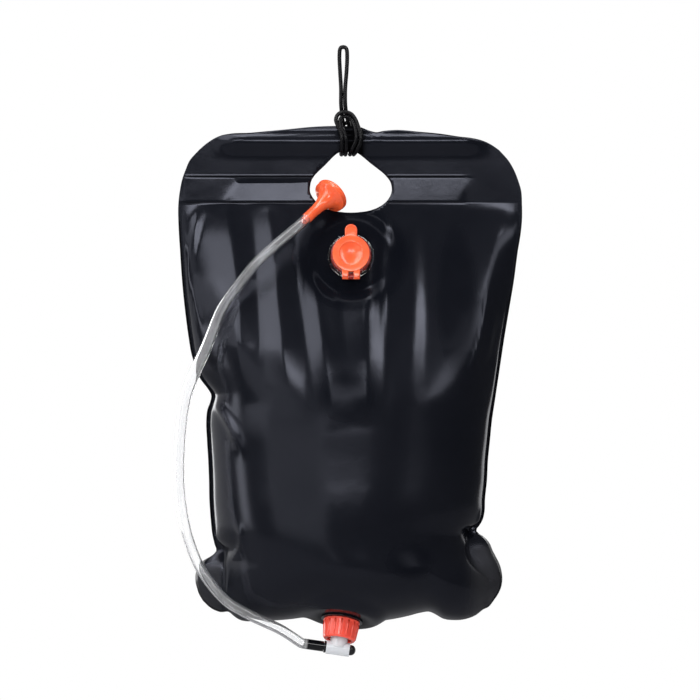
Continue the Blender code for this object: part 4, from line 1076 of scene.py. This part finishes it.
def hemBulge(across, up):
    pastEnd = np.abs(across - rodAxis[0]) - rodLength / 2
    fade = smoothStep(1.0 - np.maximum(pastEnd - film["hemOverhang"], 0.0) / film["hemRunout"])
    reach = np.where(up < rodAxis[1], film["hemFall"], film["hemReach"])
    level = np.minimum(np.abs(up - rodAxis[1]) / reach, 1.0)
    return (film["rodRadius"] + film["rodClearance"]) * fade * (1.0 + np.cos(math.pi * level)) / 2


rodLow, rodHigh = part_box("spreader_rod")
rodAxis = ((rodLow.x + rodHigh.x) / 2, (rodLow.z + rodHigh.z) / 2)
rodLength = rodHigh.x - rodLow.x


def quarterRound(share):
    return np.sqrt(1.0 - (1.0 - np.clip(share, 0.0, 1.0)) ** 2)


def baseDepth(columns, levels, across, up):
    # How far the film stands forward of the middle plane, in metres
    left, _, _, right = bodyEdges(levels)
    forward = smoothCurve(depth["front"], levels)
    below = bottomRowAt(columns) - levels
    body = forward * bodyLens(bodyShare(columns, levels)) * quarterRound(below / depth["closing"])
    ears = 0.0
    early, span = depth["earRise"]
    for top, outer, waist, sign in zip(depth["earTops"], (left, right), depth["waists"], (1.0, -1.0)):
        share = np.clip((columns - outer) / (waist + sign * depth["waistInset"] - outer), 0.0, 2.0)
        lobe = np.sqrt(np.clip(1.0 - (share - 1.0) ** 2, 0.0, 1.0))
        lobe *= rising(levels, top - early, span) * quarterRound(below / depth["earFade"])
        ears = ears + depth["ear"] * lobe
    whole = earsEased((np.maximum(body, 0.0) ** 3 + ears**3) ** (1 / 3), columns, levels)
    return whole / 1000.0 + hemBulge(across, up)


def seated(points, seatFrame, seat):
    # Film drawn on to the flat of a fitting, easing back into the bag's own shape
    centre, axis = np.array(seatFrame.translation), np.array(seatFrame.to_3x3().col[2])
    away = points - centre
    height = away @ axis
    distance = np.linalg.norm(away - height[..., None] * axis, axis=-1)
    hold = falling(distance, seat["reach"], seat["reach"] - seat["radius"])
    hold = np.where(np.abs(height) > seat["reach"], 0.0, hold)
    return points - axis * ((height + film["thickness"]) * hold)[..., None], hold


def nearestOn(line, across, up):
    # For each point: how far it is from a line, the nearest spot on it, and the share of its length there
    along = distances(line)
    best, share = np.full(across.shape, 1e9), np.zeros(across.shape)
    nearest = np.zeros((*across.shape, 2))
    for (x0, y0), (x1, y1), start, end in zip(line, line[1:], along, along[1:]):
        dx, dy = x1 - x0, y1 - y0
        t = np.clip(((across - x0) * dx + (up - y0) * dy) / (dx * dx + dy * dy), 0.0, 1.0)
        x, y = x0 + t * dx, y0 + t * dy
        away = np.hypot(across - x, up - y)
        closer = away < best
        best = np.where(closer, away, best)
        nearest[closer] = np.stack([x, y], axis=-1)[closer]
        share = np.where(closer, (start + t * (end - start)) / along[-1], share)
    return best, nearest, share


def foldHeights(folds, columns, levels):
    total = np.zeros(columns.shape)
    for route, wide, high, *fades in folds:
        away, _, share = nearestOn(smoothLine(route, 6), columns, levels)
        fadeIn, fadeOut = fades[0] if fades else foldFade
        strength = smoothStep(share / fadeIn) * falling(share, 1.0, fadeOut)
        total += high / 1000.0 * np.exp(-((away / wide) ** 2)) * strength
    return total


def pleatHeights(pleats, columns, levels):
    # Each pleat rises evenly to a sharp crest and falls evenly beyond it
    total = np.zeros(columns.shape)
    for crest, rise, fall, sharp, high in pleats:
        away = columns - smoothCurve(crest, np.clip(levels, crest[0][0], crest[-1][0]))
        steep = (1.0 / rise - 1.0 / fall) / 2
        wedge = (1.0 / rise + 1.0 / fall) / 2
        height = 1.0 + steep * away - wedge * (np.hypot(away, sharp) - sharp)
        height = (height + np.hypot(height, film["crestSoftness"])) / 2
        total += height * np.interp(levels, *np.array(high, float).T) / 1000.0
    return total


def holeOutline():
    points = []
    for acrossShare, upShare in handleHole["outlineShares"]:
        reach = handleHole["rise"] if upShare > 0 else handleHole["fall"]
        across = handleHole["shift"] + acrossShare * handleHole["halfWidth"]
        points.append((across, 0.0, -handleHole["drop"] + upShare * reach))
    return smoothLine(points, 12, closed=True)[:, [0, 2]]


def insideOutline(line, across, up):
    inside = np.zeros(across.shape, bool)
    for (x0, z0), (x1, z1) in zip(line, line[1:]):
        crosses = (z0 > up) != (z1 > up)
        with np.errstate(divide="ignore", invalid="ignore"):
            at = (x1 - x0) * (up - z0) / (z1 - z0) + x0
        inside ^= crosses & (across < at)
    return inside


def normalsOf(points, side):
    normals = np.cross(np.gradient(points, axis=1), np.gradient(points, axis=0))
    normals /= np.maximum(np.linalg.norm(normals, axis=-1, keepdims=True), 1e-12)
    return normals * np.where(normals[..., 1:2] * side < 0.0, -1.0, 1.0)


def fittingsOf(side):
    outletFitting = (outletFrame, seats["outlet"])
    return [(fillFrame, seats["fill"]), outletFitting] if side < 0 else [outletFitting]


def bandOf(columns, levels):
    # The header band: how far it stands forward in metres, its weld and its grooves
    top, bottom = band["rows"]
    middle, half = (top + bottom) / 2, (bottom - top) / 2
    lean = np.interp(columns + band["slant"] * (levels - middle), *np.array(band["lean"], float).T)
    within = rising(levels, top, band["edge"]) * falling(levels, bottom, band["edge"])
    ends = rising(columns, band["columns"][0], 4.0) * falling(columns, band["columns"][1], 4.0)
    grooves = sum(np.exp(-((levels - level) ** 2)) for level in band["rows"])
    raised = rising(levels, top - 2.0, 1.6) * falling(levels, bottom + 2.0, 1.6)
    forward = lean * (levels - middle) / half * within
    forward += ends * (band["rise"] * raised - grooves * band["groove"])
    return forward / 1000.0, within * ends, grooves * ends


def filmLooks(side, points, columns, levels, toEdge, weld, grooves):
    toSeam = np.minimum(toEdge, bottomRowAt(columns) - levels)
    seamAndShade = falling(toSeam, *film["seamFade"]) * rising(levels, *film["seamStart"])
    seamAndShade = np.maximum(seamAndShade, grooves * film["seamQuiet"])
    # The lower ears: rougher, and painted lighter as if lit
    leftEar = falling(columns, *dullLitEars["left"]) * rising(levels, *dullLitEars["leftTop"])
    rightEar = rising(columns, *dullLitEars["right"]) * rising(levels, *dullLitEars["rightTop"])
    dullAndLit = np.maximum(leftEar, rightEar) * (1.0 - seamAndShade)
    quiet = seamAndShade * film["seamQuiet"]
    if side < 0:
        for seatFrame, seat in fittingsOf(side):
            away = np.linalg.norm(points - np.array(seatFrame.translation), axis=-1)
            quiet = np.maximum(quiet, falling(away, seat["quiet"], film["quietFade"]))
        quiet *= 1.0 - np.clip(1000.0 * foldHeights(glints, columns, levels), 0.0, 1.0)
        for column, row, wide, tall, share in quietPatches:
            out = np.hypot((columns - column) / wide, (levels - row) / tall)
            quiet = np.maximum(quiet, share * falling(out, 1.0, 0.5))
        # Painted shade: the film bunched under the cord hitch takes the dark seam colour and loses its gloss
        column, reach, row, fade = film["hitchShade"]
        hitchShade = falling(np.abs(columns - column), reach, fade) * falling(levels, row, fade)
        seamAndShade, quiet = np.maximum(seamAndShade, hitchShade), np.maximum(quiet, hitchShade)
    return {"weld": weld, "seamAndShade": seamAndShade, "dullAndLit": dullAndLit, "quiet": quiet}


def filmPoints(side):
    # The inner face of a sheet: side is -1 for the front one and 1 for the back one
    columns, levels = filmGrid()
    across, up = toMetres(columns, levels)
    forward = film["gap"] / 2 + baseDepth(columns, levels, across, up)
    points = np.stack([across, side * forward, up], axis=-1)
    hold = np.zeros(columns.shape)
    for seatFrame, seat in fittingsOf(side):
        points, seatHold = seated(points, seatFrame, seat)
        hold = np.maximum(hold, seatHold)
    pleats, folds = (frontPleats, frontFolds) if side < 0 else (backPleats, backFolds)
    heights = foldHeights(folds, columns, levels) + pleatHeights(pleats, columns, levels)
    left, _, _, right = bodyEdges(levels)
    toEdge = np.minimum(columns - left, right - columns)
    heights *= (1.0 - hold) * smoothStep(toEdge / film["edgeEase"])
    points = points + normalsOf(points, side) * heights[..., None]
    bandForward, weld, grooves = bandOf(columns, levels)
    points[..., 1] += side * bandForward
    return points, filmLooks(side, points, columns, levels, toEdge, weld, grooves)


def makeFilm(side, name):
    points, looks = filmPoints(side)
    flat = points.reshape(-1, 3).copy()
    index = np.arange(len(flat)).reshape(points.shape[:2])
    corners = [index[:-1, :-1], index[1:, :-1], index[1:, 1:], index[:-1, 1:]]
    quads = np.stack(corners, axis=-1).reshape(-1, 4)
    if side > 0:
        quads = quads[:, ::-1]
    # The faces in the handle hole and the ports go, and the rims left move on to their edges
    centres = flat[quads].mean(axis=1)
    edgeLine = holeOutline()
    inHole = insideOutline(edgeLine, centres[:, 0], centres[:, 2])
    gone = inHole & (np.abs(centres[:, 1]) < film["headerReach"])
    ports = []
    for portFrame, seat in fittingsOf(side) if side < 0 else []:
        turn, centre, radius = np.array(portFrame.to_3x3()), np.array(portFrame.translation), seat["hole"]
        local = (centres - centre) @ turn
        inPort = np.hypot(local[:, 0], local[:, 1]) < radius
        gone |= inPort & (np.abs(local[:, 2]) < film["portReach"])
        ports.append((turn, centre, radius))
    kept = quads[~gone]
    pairs = np.concatenate([kept[:, [0, 1]], kept[:, [1, 2]], kept[:, [2, 3]], kept[:, [3, 0]]])
    keys, uses = np.unique(np.sort(pairs, axis=1), axis=0, return_counts=True)
    rim = np.unique(keys[uses == 1])
    away, nearest, _ = nearestOn(edgeLine, flat[rim, 0], flat[rim, 2])
    onHole = (away < film["snap"]) & (np.abs(flat[rim, 1]) < film["headerReach"])
    flat[rim[onHole], 0] = nearest[onHole, 0]
    flat[rim[onHole], 2] = nearest[onHole, 1]
    for turn, centre, radius in ports:
        local = (flat[rim] - centre) @ turn
        distance = np.hypot(local[:, 0], local[:, 1])
        onPort = (np.abs(distance - radius) < film["snap"]) & (np.abs(local[:, 2]) < film["portReach"])
        local[onPort, :2] *= (radius / distance[onPort])[:, None]
        flat[rim[onPort]] = (local[onPort] @ turn.T) + centre
    used, faces = np.unique(kept, return_inverse=True)
    piece = newPiece(name, flat[used], faces.reshape(-1, 4), blackFilm)
    for look, values in looks.items():
        addAttribute(piece, look, values.reshape(-1)[used])
    sheet = piece.modifiers.new("sheet", "SOLIDIFY")
    sheet.thickness = film["thickness"]
    sheet.offset = 1.0
    sheet.use_even_offset = False
    return piece


for side, name, node in ((-1, "filmFront", "front_panel"), (1, "filmBack", "back_panel")):
    sheetPiece = makeFilm(side, name)
    attach(sheetPiece, "bag", "black_film", node)
print("film made")


# The fill valve
fill = {
    "flangeRadius": 0.0270,
    "flangeThickness": 0.0015,
    "neckRadius": 0.0170,
    "neckBore": 0.0145,
    "neckHeight": 0.0085,
    "neckInside": 0.003,
    "collarRadius": 0.0235,
    "collarBase": 0.0021,
    "collarTop": 0.0117,
    "collarInner": 0.0175,
    "lipBore": 0.0132,
    "lipBase": 0.0101,
    "armStart": 0.0205,
    "lidRadius": 0.0215,
    "lidBase": 0.0133,
    "lidTop": 0.0168,
    "dishRadius": 0.0140,
    "dishDepth": 0.0026,
    "bowlStep": 0.0007,
    "plugRadius": 0.0126,
    "plugLength": 0.0055,
    "plugWall": 0.0014,
    "tabWidth": 0.0140,
    "tabReach": 0.0345,
    "tabThickness": 0.0018,
    "tabRimInset": 0.0013,
    "tabRimRadius": 0.0006,
    "hingeReach": 0.0268,
    "hingeHeight": 0.0112,
    "lugRadius": 0.0029,
    "lugWidth": 0.0072,
    "lugSpacing": 0.0132,
}


def hingeBar(name, width, middle, fillet, material):
    where = fillFrame @ Matrix.Translation((middle, -fill["hingeReach"], fill["hingeHeight"]))
    return bar(name, fill["lugRadius"], -width / 2, width / 2, fillet, where, material)


def hingeArm(name, width, middle, start, low, high, bevel, material):
    left, right = middle - width / 2, middle + width / 2
    corners = [(left, -start), (right, -start), (right, -fill["hingeReach"]), (left, -fill["hingeReach"])]
    return slab(name, corners, low, high, bevel, fillFrame, material)


def makeFillValve():
    low, high = 0.0003, fill["flangeThickness"] + 0.0003
    neck = [
        (fill["neckRadius"], fill["neckHeight"], 0.0003),
        (fill["neckRadius"], high, 0.0),
        (fill["flangeRadius"], high, 0.0006),
        (fill["flangeRadius"], low, 0.0006),
        (fill["neckRadius"], low, 0.0),
        (fill["neckRadius"], -fill["neckInside"], 0.0003),
        (fill["neckBore"], -fill["neckInside"], 0.0003),
        (fill["neckBore"], fill["neckHeight"], 0.0003),
    ]
    attach(lathe("fillFlange", neck, fillFrame, clearPlastic, 96), "bag", "clear_plastic", "fill_flange")
    ring = [
        (fill["collarRadius"] - 0.0006, fill["collarTop"], 0.0008),
        (fill["collarRadius"], fill["lipBase"], 0.0008),
        (fill["collarRadius"], fill["collarBase"], 0.0005),
        (fill["collarInner"], fill["collarBase"], 0.0003),
        (fill["collarInner"], fill["lipBase"], 0.0),
        (fill["lipBore"], fill["lipBase"], 0.0003),
        (fill["lipBore"], fill["collarTop"], 0.0004),
    ]
    width = fill["lugSpacing"] - fill["lugWidth"] - outlet["clearance"] * 2
    low = fill["hingeHeight"] - fill["lugRadius"]
    pieces = [
        # Collar, knuckle and arm take the darker orange, painted shade
        lathe("fillCollar", ring, fillFrame, shadedOrange, 96),
        hingeBar("collarKnuckle", width, 0.0, 0.0004, shadedOrange),
        hingeArm("collarArm", width, 0.0, fill["armStart"], low, fill["hingeHeight"], 0.0003, shadedOrange),
    ]
    attach(joined("fillCollarRing", pieces), "collar", "orange_plastic", "fill_collar")


def makeLid():
    top, base = fill["lidTop"], fill["lidBase"]
    bowlRadius = fill["dishRadius"] - fill["bowlStep"]
    plugEnd = base - fill["plugLength"]
    plugInner = fill["plugRadius"] - fill["plugWall"]
    profile = [
        *[
            (bowlRadius * share, top - fill["bowlStep"] - fill["dishDepth"] * (1.0 - share**2))
            for share in np.linspace(0.0, 1.0, 12)
        ],
        (fill["dishRadius"], top, 0.0004),
        (fill["lidRadius"], top, 0.0009),
        (fill["lidRadius"], base, 0.0006),
        (fill["plugRadius"], base, 0.0),
        (fill["plugRadius"], plugEnd, 0.0005),
        (plugInner, plugEnd, 0.0005),
        (plugInner, base, 0.0),
        (0.0, base),
    ]
    shelf = (fill["lidRadius"] + fill["dishRadius"]) / 2
    half = fill["tabWidth"] / 2
    tabHigh = top - 0.00005

    def tabLine(radius, start):
        # The tab's outline, round at its free end
        turns = [math.radians(degrees) for degrees in range(0, 181, 12)]
        centre = fill["tabReach"] - half
        arc = [(radius * math.cos(turn), centre + radius * math.sin(turn)) for turn in turns]
        return [(radius, start), *arc, (-radius, start)]

    rimRadius, rimStart = half - fill["tabRimInset"], fill["lidRadius"] - 0.0004
    rimLine = [(x, y, tabHigh) for x, y in tabLine(rimRadius, rimStart)]
    rimLine = evenLine(np.array(rimLine), fill["tabRimRadius"] * 2)
    rim = tube("lidTabRim", rimLine, fill["tabRimRadius"], orangePlastic, 10)
    rim.data.transform(fillFrame)
    tab = tabLine(half, shelf)
    pieces = [
        lathe("lidDisc", profile, fillFrame, orangePlastic, 96),
        slab("lidTab", tab, top - fill["tabThickness"], tabHigh, 0.0005, fillFrame, orangePlastic),
        rim,
    ]
    for middle in (-fill["lugSpacing"] / 2, fill["lugSpacing"] / 2):
        width = fill["lugWidth"]
        pieces += [
            hingeArm("lidArm", width, middle, shelf, base, top - 0.0006, 0.0005, orangePlastic),
            hingeBar("lidLug", width, middle, 0.0005, orangePlastic),
        ]
    attach(joined("fillLid", pieces), "lid", "orange_plastic", "fill_lid")


makeFillValve()
makeLid()
print("fill valve made")


# The outlet: flange, ribbed nut, clear valve body and its black slide
nut = {
    "topRadius": 0.0211,
    "bottomRadius": 0.0185,
    "height": 0.0227,
    "base": 0.0021,
    "bore": 0.0174,
    "shelf": 0.0156,
    "mouth": 0.0140,
    "ribs": 16,
    "ribRadius": 0.0014,
    "ribMargin": 0.0020,
    "ribSunk": 0.70,
}


def ribTree():
    # Ribs stand round a cone: their count and sizes, their lean and their material are inputs
    tree = bpy.data.node_groups.new("ribsRoundACone", "GeometryNodeTree")
    tree.interface.new_socket("Geometry", in_out="OUTPUT", socket_type="NodeSocketGeometry")
    inputs = ("Count", "Int"), ("Radius", "Float"), ("Length", "Float"), ("Thickness", "Float")
    for label, kind in (*inputs, ("Lean", "Float"), ("Material", "Material")):
        tree.interface.new_socket(label, in_out="INPUT", socket_type="NodeSocket" + kind)
    given = addNode(tree, "NodeGroupInput").outputs
    circle = {"Vertices": given["Count"], "Radius": given["Radius"]}
    ring = addNode(tree, "GeometryNodeMeshCircle", circle, fill_type="NONE")
    sizes = {"Vertices": 10, "Side Segments": 3, "Radius": given["Thickness"], "Depth": given["Length"]}
    rib = addNode(tree, "GeometryNodeMeshCylinder", sizes, fill_type="TRIANGLE_FAN")
    spot = addNode(tree, "GeometryNodeInputPosition").outputs[0]
    turn = addNode(tree, "FunctionNodeAlignEulerToVector", {"Vector": spot}, axis="X", pivot_axis="Z")
    leant = addNode(tree, "ShaderNodeCombineXYZ", {"Y": given["Lean"]})
    turns = {"Rotation": turn.outputs[0], "Rotate By": leant.outputs[0]}
    both = addNode(tree, "FunctionNodeRotateEuler", turns, space="LOCAL")
    parts = {"Points": ring.outputs["Mesh"], "Instance": rib.outputs["Mesh"], "Rotation": both.outputs[0]}
    shape = addNode(tree, "GeometryNodeInstanceOnPoints", parts).outputs[0]
    shape = addNode(tree, "GeometryNodeRealizeInstances", {"Geometry": shape}).outputs[0]
    shape = addNode(tree, "GeometryNodeSetShadeSmooth", {"Geometry": shape}).outputs[0]
    finish = {"Geometry": shape, "Material": given["Material"]}
    shape = addNode(tree, "GeometryNodeSetMaterial", finish).outputs[0]
    addNode(tree, "NodeGroupOutput", {"Geometry": shape})
    return tree


def grown(name, tree, values, where):
    # A node tree's result as a plain mesh, at its place
    piece = newPiece(name, [], [], values["Material"])
    modifier = piece.modifiers.new("growing", "NODES")
    modifier.node_group = tree
    for item in tree.interface.items_tree:
        if item.in_out == "INPUT":
            modifier[item.identifier] = values[item.name]
    baked(piece).data.transform(where)
    return piece


def makeNut():
    base, end = nut["base"], nut["base"] + nut["height"]
    profile = [
        (nut["bottomRadius"] - 0.0012, end, 0.0006),
        (nut["bottomRadius"], end - 0.0012, 0.0006),
        (nut["topRadius"] - 0.0010, base + 0.0022, 0.0004),
        (nut["topRadius"], base + 0.0018, 0.0005),
        (nut["topRadius"], base, 0.0005),
        (nut["bore"], base, 0.0003),
        (nut["bore"], nut["shelf"], 0.0),
        (nut["mouth"], nut["shelf"], 0.0003),
        (nut["mouth"], end, 0.0004),
    ]
    attach(lathe("nutBody", profile, outletFrame, redPlastic, 96), "nut", "red_plastic", "outlet_nut")
    length = nut["height"] - nut["ribMargin"] * 2
    values = {
        "Count": nut["ribs"],
        "Radius": (nut["topRadius"] + nut["bottomRadius"]) / 2 - nut["ribRadius"] * nut["ribSunk"],
        "Length": length,
        "Thickness": nut["ribRadius"],
        "Lean": -math.atan((nut["topRadius"] - nut["bottomRadius"]) / nut["height"]),
        "Material": redPlastic,
    }
    middle = base + nut["ribMargin"] + length / 2
    ribs = grown("nutRibs", ribTree(), values, outletFrame @ Matrix.Translation((0.0, 0.0, middle)))
    attach(ribs, "nut", "red_plastic")


def makeValve():
    drop, half = outlet["barrelDrop"], outlet["barrelLength"] / 2
    neck, bore, rim = outlet["neckRadius"], outlet["neckBore"], outlet["flangeRadius"]
    high, low = outlet["flangeTop"], outlet["flangeBase"]
    flangeProfile = [
        (neck, outlet["neckTop"], 0.0003), (neck, high), (rim, high, 0.0006), (rim, low, 0.0006),
        (neck, low), (neck, outlet["neckEnd"], 0.0003), (bore, outlet["neckEnd"], 0.0003),
        (bore, outlet["neckTop"], 0.0003),
    ]
    flange = lathe("outletFlange", flangeProfile, outletFrame, weldedFilm, 96)
    attach(flange, "bag", "clear_plastic", "outlet_flange")
    stemRadius, capTop, capBase = outlet["stemRadius"], outlet["capTop"], outlet["capBase"]
    stemProfile = [
        (0.0, drop), (stemRadius, drop), (stemRadius, capTop, 0.0006),
        (neck, capTop, 0.0004), (neck, capBase, 0.0004), (0.0, capBase),
    ]
    stem = lathe("valveBody", stemProfile, outletFrame, milkyPlastic, 64)
    barrel = bar("barrel", outlet["barrelRadius"], -half, half, 0.0006, barrelFrame, milkyPlastic, 64)
    past, stemEnd = half + outlet["boreMargin"], outlet["stemBoreEnd"]
    bores = [
        bar("barrelBore", outlet["barrelBore"], -past, past, 0.0, barrelFrame, milkyPlastic, 64),
        bar("stemBore", outlet["stemBore"], stemEnd, drop, 0.0, outletFrame, milkyPlastic, axisZ=True),
    ]
    body = combined(combined(stem, [barrel], "UNION"), bores, "DIFFERENCE")
    attach(sharpEdges(outward(body)), "bag", "clear_plastic", "valve_body")


def makeSlide():
    radius, barb = outlet["spoolRadius"], outlet["barbRadius"]
    end = outlet["barrelLength"] / 2 + outlet["spoolTravel"]
    turns = [math.radians(degrees) for degrees in range(0, 91, 9)]
    dome = radius * outlet["domeShare"]
    profile = [(radius * math.sin(turn), end - dome * (1 - math.cos(turn))) for turn in turns]
    grooveFloor = radius - outlet["grooveDepth"]
    for middle in outlet["grooves"]:
        high, low = middle + outlet["grooveHalf"], middle - outlet["grooveHalf"]
        profile += [(radius, high), (grooveFloor, high), (grooveFloor, low), (radius, low)]
    disc = -outlet["barrelLength"] / 2 - outlet["clearance"]
    discEnd = disc - outlet["discThickness"]
    barbEnd = discEnd - outlet["barbLength"]
    profile += [
        (radius, disc), (outlet["discRadius"], disc, 0.0005), (outlet["discRadius"], discEnd, 0.0005),
        (barb - 0.0004, discEnd),
    ]
    for share in outlet["ridgeShares"]:
        ridge = discEnd - outlet["barbLength"] * share
        profile += [(barb, ridge, 0.0002), (barb - 0.0005, ridge - outlet["ridgeDrop"])]
    bore, deep = outlet["spoolBore"], barbEnd + outlet["spoolBoreLength"]
    profile += [(barb - 0.0008, barbEnd, 0.0006), (bore, barbEnd, 0.0003), (bore, deep), (0.0, deep)]
    spool = lathe("valveSlide", profile, barrelFrame, blackPlastic, 64, axisZ=False)
    attach(spool, "slide", "black_plastic", "valve_spool")


makeNut()
makeValve()
makeSlide()
print("outlet made")


# The shower head: a flared cup with a perforated rose in its mouth
flareShares = [
    (0.0, 0.0), (0.45, 0.02), (0.65, 0.10), (0.80, 0.28), (0.90, 0.48), (0.96, 0.72), (1.0, 0.97),
]


def makeHead():
    rim, neck, stub, wall = head["rimRadius"], head["neckRadius"], head["stubRadius"], head["wall"]
    top, stubEnd = head["length"], -head["stubLength"]
    alongs = np.linspace(0.0, 1.0, 22)
    outs = smoothCurve(flareShares, alongs)
    reach = top - head["rimDepth"]
    outer = [(neck + out * (rim - neck), along * reach) for along, out in zip(alongs, outs)]
    profile = [
        (rim, top, 0.0007),
        (rim, top - 0.0022, 0.0003),
        (rim - 0.0004, top - 0.0026, 0.0003),
        *reversed(outer[1:]),
        (neck, 0.0006, 0.0002),
        (neck - 0.0003, 0.0, 0.0002),
        (stub, 0.0),
        (stub, stubEnd, 0.0004),
        (stub - wall, stubEnd, 0.0003),
        (stub - wall, 0.0),
        *[(radius - wall, height) for radius, height in outer[1:]],
        (rim - wall, top, 0.0004),
    ]
    body = lathe("showerHead", profile, headFrame, orangePlastic, 96)
    attach(body, "head", "orange_plastic", "head_body")


makeHead()
print("shower head made")


# The CAD nodes that stay take a finer finish
finishes = {
    "spreader_rod": rodPlastic,
    "fill_gasket": sealRubber,
    "fill_hinge_pin": pinSteel,
    "lid_seal": sealRubber,
    "outlet_gasket": sealRubber,
    "spool_o_ring_inner": sealRubber,
    "spool_o_ring_outer": sealRubber,
    "rose_plate": blackPlastic,
    "rose_ring": orangePlastic,
}
for node, finish in finishes.items():
    data = frame["nodes"][node].data
    data.materials.clear()
    data.materials.append(finish)


# Floor, lamps and world
studio = {
    "floorLevel": -1.02,
    "floorHalf": 2.6,
    "floorInGloss": (0.22, 0.22, 0.23),
    "worldStrength": 0.10,
}
# Each lamp: azimuth and elevation as seen from the object, distance, size and radiance
lamps = {
    "keyLeft": (-40, 41, 3.4, (1.7, 3.1), 4.0),
    "wideLeft": (-55, 24, 3.4, (1.05, 2.4), 1.5),
    "stripLeft": (-73, 4, 3.4, (0.5, 1.6), 3.6),
    "leftPanel": (-116, 6, 3.0, (3.0, 2.4), 0.9),
    "frontFill": (-30, 1, 3.4, (2.2, 1.0), 0.8),
    "keyRight": (36, 44, 3.4, (0.45, 2.8), 8.5),
    "bandLight": (-1, 15, 3.4, (1.4, 0.56), 8.0),
    "lowRight": (40, 12.5, 3.4, (0.7, 0.7), 3.0),
    "rightPanel": (136, 8, 3.0, (1.1, 2.6), 1.6),
    "overhead": (-10, 76, 3.2, (2.2, 0.8), 7.0),
    "backLeft": (-143, 14, 3.4, (1.3, 3.0), 4.0),
    "backRight": (150, 35, 3.4, (0.9, 2.2), 4.0),
}


def floorMaterial():
    # White to the camera with the object's shadow kept, a painted darker grey in glossy reflections, and a
    # plain pale floor to everything else
    glow = {"Emission Color": (0.62, 0.62, 0.62, 1.0)}
    material, tree, shader = newMaterial("paleFloor", (0.80, 0.80, 0.80), 0.7, glow)
    rays = addNode(tree, "ShaderNodeLightPath").outputs
    patches = mapped(tree, noise(tree, 3.0, 2.0), 0.0, 1.0)
    pale = mixedColor(tree, patches, (0.79, 0.79, 0.79), (0.81, 0.81, 0.81))
    toned(tree, shader, rays["Is Glossy Ray"], pale, studio["floorInGloss"])
    tree.links.new(rays["Is Camera Ray"], shader.inputs["Emission Strength"])
    return material


def makeLamps():
    middle = (Vector(cadBox[0]) + Vector(cadBox[1])) / 2
    for name, (azimuth, elevation, away, size, radiance) in lamps.items():
        light = bpy.data.lights.new(name, "AREA")
        light.shape = "RECTANGLE"
        light.size, light.size_y = size
        light.energy = radiance * size[0] * size[1] * math.pi
        around, up = math.radians(azimuth), math.radians(elevation)
        flat = math.cos(up)
        towards = Vector((flat * math.sin(around), -flat * math.cos(around), math.sin(up)))
        lamp = linked(name, light)
        lamp.location = middle + towards * away
        lamp.rotation_euler = towards.to_track_quat("Z", "Y").to_euler()
        lamp.visible_camera = False


def makeWorld():
    # White behind the object and through its clear pieces, and dim in the film's reflections
    world = bpy.data.worlds.new("paleStudio")
    bpy.context.scene.world = world
    world.use_nodes = True
    tree = world.node_tree
    tree.nodes.clear()
    rays = addNode(tree, "ShaderNodeLightPath").outputs
    seen = worked(tree, "MAXIMUM", rays["Is Camera Ray"], rays["Is Transmission Ray"])
    mix = {0: seen}
    for slot, color, strength in ((1, (0.96, 0.97, 1.0), studio["worldStrength"]), (2, (1.0, 1.0, 1.0), 1.0)):
        inputs = {"Color": (*color, 1.0), "Strength": strength}
        mix[slot] = addNode(tree, "ShaderNodeBackground", inputs).outputs[0]
    both = addNode(tree, "ShaderNodeMixShader", mix).outputs[0]
    addNode(tree, "ShaderNodeOutputWorld", {"Surface": both})


def makeStage():
    size, level = studio["floorHalf"], studio["floorLevel"]
    corners = [(-size, -size, level), (size, -size, level), (size, size, level), (-size, size, level)]
    newPiece("studioFloor", corners, [(0, 1, 2, 3)], floorMaterial())
    makeLamps()
    makeWorld()
    bpy.context.scene.view_settings.view_transform = "Standard"


makeStage()
print("stage made")
